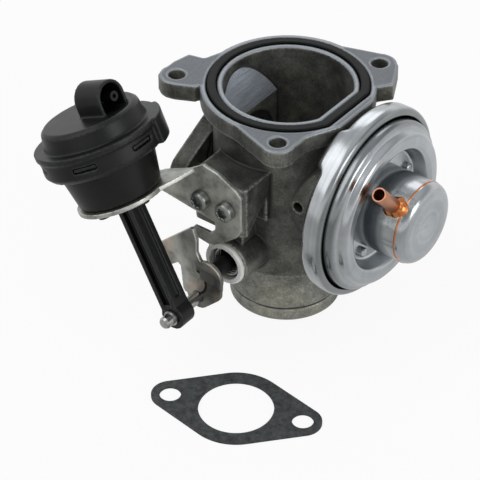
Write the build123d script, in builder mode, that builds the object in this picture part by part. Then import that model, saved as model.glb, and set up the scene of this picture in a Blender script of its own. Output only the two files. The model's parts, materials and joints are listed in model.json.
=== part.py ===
from build123d import *
from math import cos, radians, sin
import os

os.makedirs("parts", exist_ok=True)

# Vacuum operated exhaust gas recirculation valve with a shut-off flap, in millimetres.
# The origin is the centre of the hose collar's lower edge, and +Z runs up the duct.
# +X is the gas valve's axis, towards its vacuum capsule, and -Y faces the flap lever.

# ---- shared clearances -----------------------------------------------------------------
running_fit = 0.05          # radial, shaft in bush
free_gap = 0.5              # between bodies that move past each other
seat_gap = 0.3              # between a moving piece and the seat it stops at
slip_gap = 0.1              # between pieces of one body that only locate each other

# ---- duct and top flange ---------------------------------------------------------------
duct_height = 107.0
bore_upper = 27.0           # radius
bore_upper_flat = 24.0      # flat on the capsule's side, from the axis
bore_lower = 21.5
bore_step_z = 58.0          # lower bore's cone ends here
bore_cone_z = 48.0
duct_wall = 4.0
collar_radius = 24.2
collar_bead = 5.3           # height of the groove above the collar's end bead
collar_groove = 1.0
collar_height = 26.0
flange_thickness = 8.0
flange_radius = 36.4
flange_flat = 34.8
ear_hole = 3.5
ear_radius = 7.3
ear_x, ear_y = 21.0, 35.3
left_ear_x, left_ear_y = -40.7, -22.4

# ---- seal ------------------------------------------------------------------------------
seal_lip = 2.4              # metal left between bore and groove
seal_groove_width = 4.5
seal_groove_depth = 3.0
seal_side_gap = 0.4
seal_proud = 0.6

# ---- flap, shaft and lever -------------------------------------------------------------
shaft_z = 39.8
shaft_radius = 4.0
shaft_flat = 2.6            # half the width across the flats that turn the lever
flap_gap = 0.5              # flap edge to bore
flap_thickness = 1.8
flap_screw_pitch = 20.0
bush_wall = 2.0
bush_length = 12.0
front_boss_radius = 10.4
front_boss_end = -42.0      # y of its face
rear_boss_radius = 9.0
rear_boss_end = 33.0
recess_radius = 8.2         # spring recess in the front boss
recess_depth = 6.0
ring_outer, ring_inner, ring_lip = 9.8, 7.4, 1.8
spring_wire, spring_pitch, spring_turns, spring_radius = 1.2, 1.5, 3.5, 6.2
lever_y = -54.0             # middle of the lever's plate
lever_thickness = 2.0
lever_hub, lever_toe = 7.3, 5.7
pin_x, pin_z = -5.05, 27.2
pin_radius = 2.7
clip_width = 0.8
clip_rim = 0.7              # how far the clip stands out of the pin
pin_end = 5.0               # length of the pin beyond its clip

# ---- rod and vacuum actuator -----------------------------------------------------------
rod_y = -68.0               # middle of the rod and of the actuator
rod_tilt = 28.6             # degrees from upright, towards -X
rod_length = 66.0
rod_width = 8.5
rod_web = 3.0
rod_rib = 2.2
rod_side_groove, rod_side_depth = 2.8, 0.9
rod_neck = 11.0             # length of the round head at its upper end
rod_eye = 5.7
rod_eye_width = 8.0
rod_head = 3.6
actuator_tilt = 26.0
actuator_x, actuator_z = -34.0, 76.0    # middle of the cup's floor
cup_floor_radius = 17.8
cup_top_radius = 20.8
cup_height = 16.3
plastic_wall = 1.8
band_radius = 25.9
band_height = 9.7
lip_radius = 26.8
lip_height = 2.5
cap_radius = 22.3
cap_top_radius = 19.4
cap_height = 7.9
bottom_hole = 9.5
piston_rest = 7.4           # height of the piston's underside above the cup's floor
piston_radius = 13.0
piston_socket = 6.0
window_count = 6
window_angle = -62.0
window_width, window_height = 10.3, 2.3
window_base = 4.9           # above the band's lower edge
pad_start, pad_end = 18.0, 66.0         # thick part of the band, in degrees
pad_radius = 28.0
foot_count, foot_angle = 5, -82.0       # plastic feet under the bracket
foot_circle, foot_radius, foot_hole = 14.0, 2.7, 1.6
hood_radius = 7.4
hood_side = 5.0             # height of the straight part of its sides
hood_front, hood_back = 14.2, -0.4
hood_offset = 2.9
hood_wall = 1.5
port_offset, port_height = 4.6, 4.8
port_radius, port_bore = 2.1, 0.9

# ---- bracket ---------------------------------------------------------------------------
sheet = 2.0
fold_inside, fold_outside = 1.5, 1.8
plate_y = -46.2             # face of the cast block
block_left, block_right = -14.0, 12.5
block_bottom, block_top = 60.0, 84.0
bracket_screw_x = (-7.6, 5.2)
bracket_screw_z = 73.2
screw_shank, screw_head, screw_head_height = 2.5, 4.3, 3.6

# ---- gas valve -------------------------------------------------------------------------
valve_z = 66.5
seat_face_x = -19.3         # flat face inside the duct that carries the valve seat
seat_block_base, seat_block_top = 46.0, 85.5
ramp_top_x, ramp_top_z = -26.6, 102.0   # the ramp above the seat meets the duct's wall here
inlet_face_x = -34.5
inlet_flange_radius = 21.5
inlet_neck = 20.0
inlet_bore = 14.5
seat_outer, seat_bore, seat_depth = 16.5, 12.5, 6.0
poppet_radius = 13.8
stem_radius = 3.0
guide_radius = 6.0
inlet_pitch = 57.0
inlet_hole = 3.5
inlet_ear = 8.0
capsule_boss = 24.0
capsule_x = 38.0            # back of the capsule

# ---- capsule ---------------------------------------------------------------------------
rim_radius = 41.8
rim_depth = 8.0
steel = 1.2
step_radius = 37.0
plateau_x = 53.6
dish_radius, dish_floor_x = 25.0, 46.6
cup_radius, cup_end_x, cup_fillet = 17.8, 71.5, 4.4
cap_joint_x, cap_joint = 66.4, 0.6      # ring of braze between the cup and its end cap
sheet_bend = 1.9
skirt_depth = 2.8           # deep part of the rim's back edge
skirt_start, skirt_end = 106.0, 134.0
nipple_x, nipple_angle = 62.5, 132.0
nipple_radius, nipple_bore, nipple_end = 3.1, 2.3, 35.5
nipple_root = 2.85          # radius of the tube inside its braze and the cup
braze_rim, braze_height = 2.2, 2.6
rivet_spots = ((21.1, 20.0), (21.1, -122.0))    # radius, angle from +Y towards +Z

# ---- loose gasket ----------------------------------------------------------------------
gasket_x, gasket_y, gasket_angle = 32.0, -76.9, 20.6
gasket_thickness = 1.2
gasket_bore, gasket_hole, gasket_ear, gasket_body = 15.7, 4.5, 8.0, 21.5

# ---- places worked out from the values above -------------------------------------------
tilt, lean = radians(actuator_tilt), radians(rod_tilt)
up_x, up_z = -sin(tilt), cos(tilt)                  # along the actuator, away from the lever
side_x, side_z = cos(tilt), sin(tilt)
band_base = cup_height
band_top = band_base + band_height
cap_base = band_top + lip_height
cap_top = cap_base + cap_height
valve_axis = Axis((0, 0, valve_z), (1, 0, 0))
actuator_axis = Axis((actuator_x, rod_y, actuator_z), (up_x, 0, up_z))
shaft_axis = Axis((0, 0, shaft_z), (0, 1, 0))
piston_top = piston_rest + plastic_wall


def actuator_plane(height):
    """Across the actuator: x runs to the right and up, y runs towards the duct."""
    origin = (actuator_x + up_x * height, rod_y, actuator_z + up_z * height)
    return Plane(origin=origin, x_dir=(side_x, 0, side_z), z_dir=(up_x, 0, up_z))


# Profiles of turned pieces: x is the radius, y is the height along the piece's axis.
actuator_profile = Plane(
    origin=(actuator_x, rod_y, actuator_z), x_dir=(side_x, 0, side_z), z_dir=(0, -1, 0)
)
# x runs along the gas valve, y is the radius.
valve_profile = Plane(origin=(0, 0, valve_z), x_dir=(1, 0, 0), z_dir=(0, -1, 0))
# x runs along the shaft, y is the radius.
shaft_profile = Plane(origin=(0, 0, shaft_z), x_dir=(0, 1, 0), z_dir=(1, 0, 0))


def across_valve(x):
    """Plane across the gas valve, facing +X: its x runs along +Y and its y along +Z."""
    return Plane(origin=(x, 0, valve_z), x_dir=(0, 1, 0), z_dir=(1, 0, 0))


def front_plane(y):
    """Plane facing -Y with x along +X and y along +Z."""
    return Plane(origin=(0, y, 0), x_dir=(1, 0, 0), z_dir=(0, -1, 0))


def hood_plane(distance):
    """Across the hood over the vacuum port, facing its open end; y is the height above the cap."""
    out = Vector(side_x, 0, side_z)
    middle = Vector(actuator_x + up_x * cap_top, rod_y, actuator_z + up_z * cap_top)
    return Plane(origin=middle + out * distance, x_dir=(0, 1, 0), z_dir=out)


def nipple_plane(distance):
    """Across the capsule's vacuum nipple, at a distance from the valve's axis."""
    out = Vector(0, cos(radians(nipple_angle)), sin(radians(nipple_angle)))
    middle = Vector(nipple_x, 0, valve_z)
    return Plane(origin=middle + out * distance, x_dir=(1, 0, 0), z_dir=out)


def rod_plane(y):
    """Plane facing -Y at the lever pin, with y along the rod."""
    return Plane(origin=(pin_x, y, pin_z), x_dir=(cos(lean), 0, sin(lean)), z_dir=(0, -1, 0))


def flat_sided_disc(radius, flat):
    """A disc cut off at x = flat, for use inside a sketch."""
    Circle(radius)
    with Locations((flat + radius, 0)):
        Rectangle(2 * radius, 2 * radius, mode=Mode.SUBTRACT)


def save(part, name):
    part.label = name
    export_step(part, "parts/" + name + ".step")


# ========================================================================================
# Housing
# ========================================================================================
groove_inner = bore_upper + seal_lip
groove_outer = groove_inner + seal_groove_width
groove_inner_flat = bore_upper_flat + seal_lip
groove_outer_flat = groove_inner_flat + seal_groove_width
flange_base_z = duct_height - flange_thickness
body_radius = bore_upper + duct_wall
lower_body_radius = body_radius - 2.5
shaft_bore = shaft_radius + bush_wall

# Block inside the duct that carries the valve seat, with a steep ramp above it.
with BuildPart() as seat_block:
    with BuildSketch(Plane.XZ.offset(-bore_upper)):
        Polygon(
            (seat_face_x, seat_block_base + 3), (seat_face_x, seat_block_top),
            (ramp_top_x, ramp_top_z), (-body_radius, ramp_top_z), (-body_radius, seat_block_base),
            (-bore_lower, seat_block_base), align=None
        )
    extrude(amount=2 * bore_upper)
    with BuildSketch(Plane.XY.offset(seat_block_base)):
        Circle(bore_upper + 0.5)
    extrude(amount=ramp_top_z - seat_block_base, mode=Mode.INTERSECT)

with BuildPart() as valve_housing:
    # duct wall with the hose collar below
    with BuildSketch(Plane.XZ):
        with BuildLine():
            Polyline(
                (0, 0),
                (collar_radius - 0.6, 0),
                (collar_radius, 0.6),
                (collar_radius, collar_bead),
                (collar_radius - collar_groove, collar_bead + 1.0),
                (collar_radius, collar_bead + 2.0),
                (collar_radius, collar_height),
                (lower_body_radius, collar_height + 1.2),
                (lower_body_radius, bore_cone_z),
                (body_radius, bore_step_z),
                (body_radius, flange_base_z),
                (0, flange_base_z),
                close=True,
            )
        make_face()
    revolve(axis=Axis.Z)
    # top flange with three ears
    with BuildSketch(Plane.XY.offset(flange_base_z)):
        flat_sided_disc(flange_radius, flange_flat)
        with Locations((ear_x, ear_y), (ear_x, -ear_y), (left_ear_x, left_ear_y)):
            Circle(ear_radius)
        Polygon((1, 36.3), (19, 42.2), (28, 39), (flange_flat, 26), (24, 12), (4, 20), align=None)
        Polygon((0, -36.3), (17, -41.6), (28, -37), (28, -26), (32, -17), (20, -8), align=None)
        Polygon(
            (-29, -25), (-37, -29), (-47, -27), (-47.7, -16), (-46, -7.7), (-39, -6), (-36, 3),
            (-20, 0), align=None
        )
    extrude(amount=flange_thickness)
    # block that carries the actuator bracket
    with BuildSketch(Plane.XY.offset(block_bottom)):
        with BuildLine():
            Polyline(
                (block_left, -22), (block_left, plate_y + 2), (block_left + 2, plate_y),
                (block_right - 2, plate_y), (block_right, plate_y + 2), (block_right, -22),
                close=True,
            )
        make_face()
    extrude(amount=block_top - block_bottom)
    with BuildSketch(Plane.YZ.offset(block_left - 1)):
        Polygon(
            (plate_y + 2.5, block_bottom - 1), (plate_y + 2.5, block_bottom),
            (-body_radius, block_bottom + 13), (-body_radius, block_bottom - 1), align=None
        )
    extrude(amount=block_right - block_left + 2, mode=Mode.SUBTRACT)
    # web that runs down from the block to the shaft boss
    with BuildSketch(Plane.XY.offset(shaft_z)):
        with Locations((0, -30)):
            Rectangle(11, 16)
    extrude(amount=block_bottom + 8 - shaft_z)
    # shaft bosses
    with BuildSketch(front_plane(-20)):
        with Locations((0, shaft_z)):
            Circle(front_boss_radius)
    extrude(amount=-front_boss_end - 20)
    with BuildSketch(front_plane(rear_boss_end)):
        with Locations((0, shaft_z)):
            Circle(rear_boss_radius)
    extrude(amount=rear_boss_end - 20)
    # capsule boss and gas inlet with its two-hole flange
    with BuildSketch(across_valve(20)):
        Circle(capsule_boss)
    extrude(amount=capsule_x - 20)
    with BuildSketch(across_valve(inlet_face_x)):
        with BuildLine():
            CenterArc((0, 0), inlet_flange_radius, 0, 360)
            CenterArc((inlet_pitch / 2, 0), inlet_ear, 0, 360)
            CenterArc((-inlet_pitch / 2, 0), inlet_ear, 0, 360)
        make_hull()
    extrude(amount=flange_thickness)
    with BuildSketch(across_valve(inlet_face_x)):
        Circle(inlet_neck)
    extrude(amount=14)
    # duct bore: round below, with one flat side above
    with BuildSketch(Plane.XZ):
        with BuildLine():
            Polyline(
                (0, -1), (bore_lower, -1), (bore_lower, bore_cone_z),
                (bore_upper_flat, bore_step_z), (bore_upper_flat, bore_step_z + 1),
                (0, bore_step_z + 1), close=True,
            )
        make_face()
    revolve(axis=Axis.Z, mode=Mode.SUBTRACT)
    with BuildSketch(Plane.XY.offset(bore_step_z)):
        flat_sided_disc(bore_upper, bore_upper_flat)
    extrude(amount=duct_height - bore_step_z + 1, mode=Mode.SUBTRACT)
    # seal groove
    with BuildSketch(Plane.XY.offset(duct_height - seal_groove_depth)):
        flat_sided_disc(groove_outer, groove_outer_flat)
        with BuildSketch(mode=Mode.SUBTRACT):
            flat_sided_disc(groove_inner, groove_inner_flat)
    extrude(amount=seal_groove_depth + 1, mode=Mode.SUBTRACT)
    # block with the valve seat bore and the gas inlet
    add(seat_block.part)
    with BuildSketch(across_valve(seat_face_x)):
        Circle(seat_outer)
    extrude(amount=-seat_depth, mode=Mode.SUBTRACT)
    with BuildSketch(across_valve(seat_face_x)):
        Circle(inlet_bore)
    extrude(amount=inlet_face_x - seat_face_x - 1, mode=Mode.SUBTRACT)
    # stem guide bore through the capsule boss
    with BuildSketch(across_valve(capsule_x + 1)):
        Circle(guide_radius)
    extrude(amount=-20, mode=Mode.SUBTRACT)
    # shaft bores, spring recess
    with BuildSketch(front_plane(rear_boss_end + 1)):
        with Locations((0, shaft_z)):
            Circle(shaft_bore)
    extrude(amount=rear_boss_end + 2 - front_boss_end, mode=Mode.SUBTRACT)
    with BuildSketch(front_plane(front_boss_end + recess_depth)):
        with Locations((0, shaft_z)):
            Circle(recess_radius)
    extrude(amount=recess_depth + 1, mode=Mode.SUBTRACT)
    # fixing holes
    with BuildSketch(Plane.XY.offset(flange_base_z - 1)):
        with Locations((ear_x, ear_y), (ear_x, -ear_y), (left_ear_x, left_ear_y)):
            Circle(ear_hole)
    extrude(amount=flange_thickness + 2, mode=Mode.SUBTRACT)
    with BuildSketch(across_valve(inlet_face_x - 1)):
        with Locations((inlet_pitch / 2, 0), (-inlet_pitch / 2, 0)):
            Circle(inlet_hole)
    extrude(amount=10, mode=Mode.SUBTRACT)
    with BuildSketch(front_plane(plate_y - 1)):
        with Locations(*[(x, bracket_screw_z) for x in bracket_screw_x]):
            Circle(screw_shank)
    extrude(amount=-12, mode=Mode.SUBTRACT)
    # blind vent hole in the side of the capsule boss
    with BuildSketch(front_plane(-capsule_boss - 2)):
        with Locations((23, valve_z + 1.5)):
            Circle(2.2)
    extrude(amount=-8, mode=Mode.SUBTRACT)
save(valve_housing.part, "valve_housing")

with BuildPart() as manifold_seal:
    with BuildSketch(Plane.XY.offset(duct_height - seal_groove_depth)):
        flat_sided_disc(groove_outer - seal_side_gap, groove_outer_flat - seal_side_gap)
        with BuildSketch(mode=Mode.SUBTRACT):
            flat_sided_disc(groove_inner + seal_side_gap, groove_inner_flat + seal_side_gap)
    extrude(amount=seal_groove_depth + seal_proud)
save(manifold_seal.part, "manifold_seal")

with BuildPart() as valve_seat:
    with BuildSketch(valve_profile):
        with BuildLine():
            Polyline(
                (seat_face_x - seat_depth, seat_bore),
                (seat_face_x - 1.2, seat_bore),
                (seat_face_x, seat_bore + 1.2),
                (seat_face_x, seat_outer),
                (seat_face_x - seat_depth, seat_outer),
                close=True,
            )
        make_face()
    revolve(axis=valve_axis)
save(valve_seat.part, "valve_seat")

with BuildPart() as stem_guide:
    with BuildSketch(across_valve(bore_upper_flat + 1)):
        Circle(guide_radius)
        Circle(stem_radius + running_fit, mode=Mode.SUBTRACT)
    extrude(amount=capsule_x - bore_upper_flat - 1)
save(stem_guide.part, "stem_guide")

# ========================================================================================
# Flap, shaft and lever
# ========================================================================================
flap_radius = bore_lower - flap_gap
rear_bush_end = bore_lower + 1.0 + 8.0

with BuildPart() as shaft_bushes:
    with BuildSketch(front_plane(front_boss_end + recess_depth + bush_length)):
        with Locations((0, shaft_z)):
            Circle(shaft_bore)
            Circle(shaft_radius + running_fit, mode=Mode.SUBTRACT)
    extrude(amount=bush_length)
    with BuildSketch(front_plane(rear_bush_end)):
        with Locations((0, shaft_z)):
            Circle(shaft_bore)
            Circle(shaft_radius + running_fit, mode=Mode.SUBTRACT)
    extrude(amount=rear_bush_end - bore_lower - 1.0)
save(shaft_bushes.part, "shaft_bushes")

with BuildPart() as shaft_plug:
    with BuildSketch(front_plane(rear_boss_end)):
        with Locations((0, shaft_z)):
            Circle(shaft_bore)
    extrude(amount=1.5)
save(shaft_plug.part, "shaft_plug")

with BuildPart() as spring_ring:
    with BuildSketch(shaft_profile):
        with BuildLine():
            Polyline(
                (front_boss_end + 3.0, ring_inner),
                (front_boss_end - ring_lip, ring_inner),
                (front_boss_end - ring_lip, ring_outer - 0.5),
                (front_boss_end - ring_lip + 0.5, ring_outer),
                (front_boss_end, ring_outer),
                (front_boss_end, recess_radius),
                (front_boss_end + 3.0, recess_radius),
                close=True,
            )
        make_face()
    revolve(axis=shaft_axis)
save(spring_ring.part, "spring_ring")

shaft_front = lever_y - lever_thickness / 2
shaft_rear = rear_boss_end - 1.5 - free_gap
with BuildPart() as flap_shaft:
    with BuildSketch(front_plane(shaft_rear)):
        with Locations((0, shaft_z)):
            Circle(shaft_radius)
    extrude(amount=shaft_rear - shaft_front)
    # flat that the flap is screwed to
    with BuildSketch(front_plane(flap_radius)):
        with Locations((shaft_radius, shaft_z)):
            Rectangle(2 * shaft_radius, 3 * shaft_radius)
    extrude(amount=2 * flap_radius, mode=Mode.SUBTRACT)
    # two flats that turn the lever
    with BuildSketch(front_plane(lever_y + lever_thickness / 2)):
        with Locations((0, shaft_z + shaft_radius + shaft_flat), (0, shaft_z - shaft_radius - shaft_flat)):
            Rectangle(3 * shaft_radius, 2 * shaft_radius)
    extrude(amount=lever_thickness + 1, mode=Mode.SUBTRACT)
    with BuildSketch(Plane.YZ.offset(-1.0)):
        with Locations((flap_screw_pitch / 2, shaft_z), (-flap_screw_pitch / 2, shaft_z)):
            Circle(1.5)
    extrude(amount=2, both=True, mode=Mode.SUBTRACT)
save(flap_shaft.part, "flap_shaft")

with BuildPart() as flap_plate:
    with BuildSketch(Plane.YZ):
        with Locations((0, shaft_z)):
            Circle(flap_radius)
            with Locations((flap_screw_pitch / 2, 0), (-flap_screw_pitch / 2, 0)):
                Circle(1.5, mode=Mode.SUBTRACT)
    extrude(amount=flap_thickness)
save(flap_plate.part, "flap_plate")

with BuildPart() as flap_screws:
    with BuildSketch(Plane.YZ.offset(flap_thickness)):
        with Locations((flap_screw_pitch / 2, shaft_z), (-flap_screw_pitch / 2, shaft_z)):
            Circle(2.8)
    extrude(amount=1.6)
    with BuildSketch(Plane.YZ.offset(-3.0)):
        with Locations((flap_screw_pitch / 2, shaft_z), (-flap_screw_pitch / 2, shaft_z)):
            Circle(1.5)
    extrude(amount=flap_thickness + 3.2)
save(flap_screws.part, "flap_screws")

with BuildPart() as flap_lever:
    with BuildSketch(front_plane(lever_y + lever_thickness / 2)):
        with BuildLine():
            CenterArc((0, shaft_z), lever_hub, 0, 360)
            CenterArc((pin_x, pin_z), lever_toe, 0, 360)
            CenterArc((2.5, 32.5), 4.2, 0, 360)
        make_hull()
        Polygon(
            (-5.6, 50.0), (-5.4, 56), (-7.2, 61.6), (-9.0, 61.4), (-26.0, 45.4), (-26.4, 43.4),
            (-22.0, 36.6), (-20.6, 36.2), (-15.4, 40.4), (-14.0, 39.4), (-12.8, 28.0),
            (-11.6, 26.4), (-5, 33), (0, 40), align=None
        )
        with BuildSketch(mode=Mode.SUBTRACT):
            with Locations((0, shaft_z)):
                Circle(shaft_radius)
                Rectangle(3 * shaft_radius, 2 * shaft_flat, mode=Mode.INTERSECT)
        with Locations((pin_x, pin_z)):
            Circle(pin_radius, mode=Mode.SUBTRACT)
    extrude(amount=lever_thickness)
save(flap_lever.part, "flap_lever")

pin_inner = lever_y + lever_thickness / 2 + 1.2
eye_face = rod_y - rod_eye_width / 2
clip_y = eye_face - seat_gap
pin_outer = clip_y - clip_width - pin_end
with BuildPart() as lever_pin:
    # shouldered pin riveted into the lever, with a groove for the clip at its free end
    with BuildSketch(Plane(origin=(pin_x, 0, pin_z), x_dir=(0, 1, 0), z_dir=(1, 0, 0))):
        with BuildLine():
            Polyline(
                (pin_inner, 0), (pin_inner, pin_radius), (clip_y, pin_radius),
                (clip_y, pin_radius - 0.6), (clip_y - clip_width, pin_radius - 0.6),
                (clip_y - clip_width, pin_radius), (pin_outer + 1.4, pin_radius),
                (pin_outer + 0.4, pin_radius - 0.6), (pin_outer, pin_radius - 1.6),
                (pin_outer, 0), close=True,
            )
        make_face()
    revolve(axis=Axis((pin_x, 0, pin_z), (0, 1, 0)))
save(lever_pin.part, "lever_pin")

with BuildPart() as pin_clip:
    with BuildSketch(front_plane(clip_y)):
        with Locations((pin_x, pin_z)):
            Circle(pin_radius + clip_rim)
            Circle(pin_radius - 0.6, mode=Mode.SUBTRACT)
    extrude(amount=clip_width)
save(pin_clip.part, "pin_clip")

# Torsion spring that opens the flap, wound in the boss recess behind the ring.
spring_start = front_boss_end + recess_depth - 0.4 - spring_wire / 2
with BuildPart() as return_spring:
    with BuildLine():
        coil = Helix(
            pitch=spring_pitch, height=spring_pitch * spring_turns, radius=spring_radius,
            center=(0, spring_start, shaft_z), direction=(0, -1, 0),
        )
    with BuildSketch(Plane(origin=coil @ 0, z_dir=coil % 0)):
        Circle(spring_wire / 2)
    sweep()
save(return_spring.part, "return_spring")

# ========================================================================================
# Rod
# ========================================================================================
rod_body = rod_length - rod_neck
with BuildPart() as actuator_rod:
    # channel section: a flat web with a rib along each edge
    with BuildSketch(rod_plane(rod_y + rod_web / 2)):
        with Locations((0, rod_body / 2)):
            Rectangle(rod_width, rod_body)
    extrude(amount=rod_web)
    with BuildSketch(rod_plane(rod_y + rod_width / 2)):
        for edge in (-1, 1):
            with Locations((edge * (rod_width - rod_rib) / 2, (rod_body + rod_eye) / 2 - 1)):
                Rectangle(rod_rib, rod_body - rod_eye + 2)
        with Locations((0, rod_body - 1.5)):
            Rectangle(rod_width, 3)
    extrude(amount=rod_width)
    # groove along each side
    with BuildSketch(rod_plane(rod_y + rod_side_groove / 2)):
        for edge in (-1, 1):
            with Locations((edge * rod_width / 2, rod_body / 2 + 2)):
                Rectangle(2 * rod_side_depth, rod_body - 2 * rod_eye)
    extrude(amount=rod_side_groove, mode=Mode.SUBTRACT)
    # eye for the lever pin
    with BuildSketch(rod_plane(rod_y + rod_eye_width / 2)):
        Circle(rod_eye)
    extrude(amount=rod_eye_width)
    # round head that the actuator's piston holds
    with BuildSketch(Plane(
        origin=(pin_x - sin(lean) * (rod_body - 1), rod_y, pin_z + cos(lean) * (rod_body - 1)),
        z_dir=(-sin(lean), 0, cos(lean)),
    )):
        Circle(rod_head)
    extrude(amount=rod_neck + 1)
    with BuildSketch(rod_plane(rod_y + rod_width)):
        Circle(pin_radius + running_fit)
    extrude(amount=2 * rod_width, mode=Mode.SUBTRACT)
save(actuator_rod.part, "actuator_rod")

# ========================================================================================
# Bracket
# ========================================================================================
plate_front = plate_y - sheet
fold_side = rod_y - plate_front         # distance from the actuator's axis back to the plate
fold_left, fold_right = -27.5, -12.4
fold_slope = side_z / side_x
with BuildPart() as actuator_bracket:
    # upright plate on the cast block, with an arm that runs down behind the lever
    with BuildSketch(front_plane(plate_y)):
        Polygon(
            (fold_left, actuator_z + (fold_left - actuator_x) * fold_slope),
            (-29, 70.5), (-29, 67.6), (-1.0, 64.0), (-1.0, 60.4), (-3.6, 57.2), (-12, 57.0),
            (-14, 54.6), (-12.5, 52.2), (-3.0, 50.8), (3.0, 55.0), (10, 61.0), (12.6, 65.5),
            (12.6, 81.5), (9.0, 85.0), (0.5, 89.2), (-7.0, 90.4),
            (fold_right, actuator_z + (fold_right - actuator_x) * fold_slope), align=None
        )
        with Locations(*[(x, bracket_screw_z) for x in bracket_screw_x]):
            Circle(screw_shank + 0.3, mode=Mode.SUBTRACT)
        with Locations((0, shaft_z)):
            Circle(front_boss_radius + 1.5, mode=Mode.SUBTRACT)
    extrude(amount=sheet)
    # tilted plate under the actuator
    with BuildSketch(actuator_plane(0)):
        Circle(19.2)
        Polygon((-4, 0), (-4, -fold_side), (24.5, -fold_side), (22.5, 13), (18.8, 4), align=None)
        Circle(bottom_hole, mode=Mode.SUBTRACT)
        with PolarLocations(foot_circle, foot_count, start_angle=foot_angle):
            Circle(foot_hole, mode=Mode.SUBTRACT)
    extrude(amount=-sheet)
    # bend between the two plates
    fold_edges = actuator_bracket.edges().filter_by(Axis((0, 0, 0), (side_x, 0, side_z)))
    fillet(fold_edges.filter_by_position(Axis.Y, plate_y - 0.01, plate_y + 0.01), fold_outside)
    fold_edges = actuator_bracket.edges().filter_by(Axis((0, 0, 0), (side_x, 0, side_z)))
    fold_edges = fold_edges.filter_by_position(Axis.Y, plate_front - 0.01, plate_front + 0.01)
    fillet(fold_edges.sort_by(actuator_axis)[0:1], fold_inside)
save(actuator_bracket.part, "actuator_bracket")

with BuildPart() as bracket_screws:
    with BuildSketch(front_plane(plate_front)):
        with Locations(*[(x, bracket_screw_z) for x in bracket_screw_x]):
            Circle(screw_head)
    extrude(amount=screw_head_height)
    fillet(bracket_screws.faces().sort_by(Axis.Y)[:2].edges(), 0.7)
    with BuildSketch(front_plane(plate_front - screw_head_height)):
        with Locations(*[(x, bracket_screw_z) for x in bracket_screw_x]):
            RegularPolygon(2.3, 6)
    extrude(amount=-2.2, mode=Mode.SUBTRACT)
    with BuildSketch(front_plane(plate_front)):
        with Locations(*[(x, bracket_screw_z) for x in bracket_screw_x]):
            Circle(screw_shank)
    extrude(amount=-12)
save(bracket_screws.part, "bracket_screws")

# ========================================================================================
# Vacuum actuator
# ========================================================================================
cup_flange = band_radius - plastic_wall - slip_gap
cup_rim = band_base + window_base + window_height
diaphragm = 0.8
with BuildPart() as actuator_cup:
    with BuildSketch(actuator_profile):
        with BuildLine():
            Polyline(
                (bottom_hole, 0),
                (cup_floor_radius - 1.0, 0),
                (cup_floor_radius, 1.0),
                (cup_top_radius, band_base + 1.0),
                (cup_flange, band_base + 2.0),
                (cup_flange, cup_rim),
                (cup_flange - plastic_wall, cup_rim),
                (cup_flange - plastic_wall, band_base + 2.0 + plastic_wall),
                (cup_top_radius - plastic_wall, band_base + 1.0 + plastic_wall),
                (cup_floor_radius - plastic_wall, plastic_wall),
                (bottom_hole, plastic_wall),
                close=True,
            )
        make_face()
    revolve(axis=actuator_axis)
    # snap hooks that show through the cover's windows
    with BuildSketch(actuator_plane(band_base + window_base + seat_gap)):
        with PolarLocations(cup_flange - 0.2, window_count, start_angle=window_angle):
            Rectangle(2.6, window_width - 2 * seat_gap)
    extrude(amount=window_height - 2 * seat_gap)
save(actuator_cup.part, "actuator_cup")

with BuildPart() as actuator_cover:
    with BuildSketch(actuator_profile):
        with BuildLine():
            Polyline(
                (0, cap_top),
                (cap_top_radius, cap_top),
                (cap_top_radius + 1.6, cap_top - 1.4),
                (cap_radius, cap_base),
                (lip_radius, cap_base),
                (lip_radius, band_top),
                (band_radius, band_top - 0.4),
                (band_radius, band_base + 2.2),
                (band_radius - plastic_wall, band_base),
                (band_radius - plastic_wall, cup_rim + diaphragm),
                (cap_radius - plastic_wall, cup_rim + diaphragm),
                (cap_top_radius - plastic_wall, cap_top - plastic_wall),
                (0, cap_top - plastic_wall),
                close=True,
            )
        make_face()
    revolve(axis=actuator_axis)
    # windows that the snap hooks show through
    with BuildSketch(actuator_plane(band_base + window_base)):
        with PolarLocations(band_radius, window_count, start_angle=window_angle):
            Rectangle(6.4, window_width)
    extrude(amount=window_height, mode=Mode.SUBTRACT)
    # hood over the vacuum port: an arched tunnel, open at one end and shut behind
    with BuildSketch(hood_plane(hood_back)):
        with Locations((hood_offset, hood_side)):
            Circle(hood_radius)
        with Locations((hood_offset, hood_side / 2 - 0.5)):
            Rectangle(2 * hood_radius, hood_side + 1)
    extrude(amount=hood_front - hood_back)
    with BuildSketch(hood_plane(hood_back + hood_wall)):
        with Locations((hood_offset, hood_side)):
            Circle(hood_radius - hood_wall)
        with Locations((hood_offset, hood_side / 2)):
            Rectangle(2 * (hood_radius - hood_wall), hood_side)
    extrude(amount=hood_front - hood_back, mode=Mode.SUBTRACT)
    # thick part of the band
    with BuildSketch(actuator_plane(band_base + 1.0)):
        Circle(pad_radius)
        Circle(band_radius - 0.6, mode=Mode.SUBTRACT)
        Polygon(
            (0, 0), (60 * cos(radians(pad_start)), 60 * sin(radians(pad_start))),
            (60 * cos(radians(pad_end)), 60 * sin(radians(pad_end))), align=None,
            mode=Mode.INTERSECT
        )
    extrude(amount=band_height + lip_height - 1.0)
save(actuator_cover.part, "actuator_cover")

with BuildPart() as actuator_port:
    with BuildSketch(hood_plane(hood_back + hood_wall)):
        with Locations((port_offset, port_height)):
            Circle(port_radius)
            Circle(port_bore, mode=Mode.SUBTRACT)
    extrude(amount=hood_front - hood_back - hood_wall - 0.3)
save(actuator_port.part, "actuator_port")

with BuildPart() as actuator_rivets:
    with BuildSketch(actuator_plane(-sheet)):
        with PolarLocations(foot_circle, foot_count, start_angle=foot_angle):
            Circle(foot_radius)
    extrude(amount=-1.6)
    with BuildSketch(actuator_plane(0)):
        with PolarLocations(foot_circle, foot_count, start_angle=foot_angle):
            Circle(foot_hole)
    extrude(amount=-sheet)
save(actuator_rivets.part, "actuator_rivets")

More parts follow.
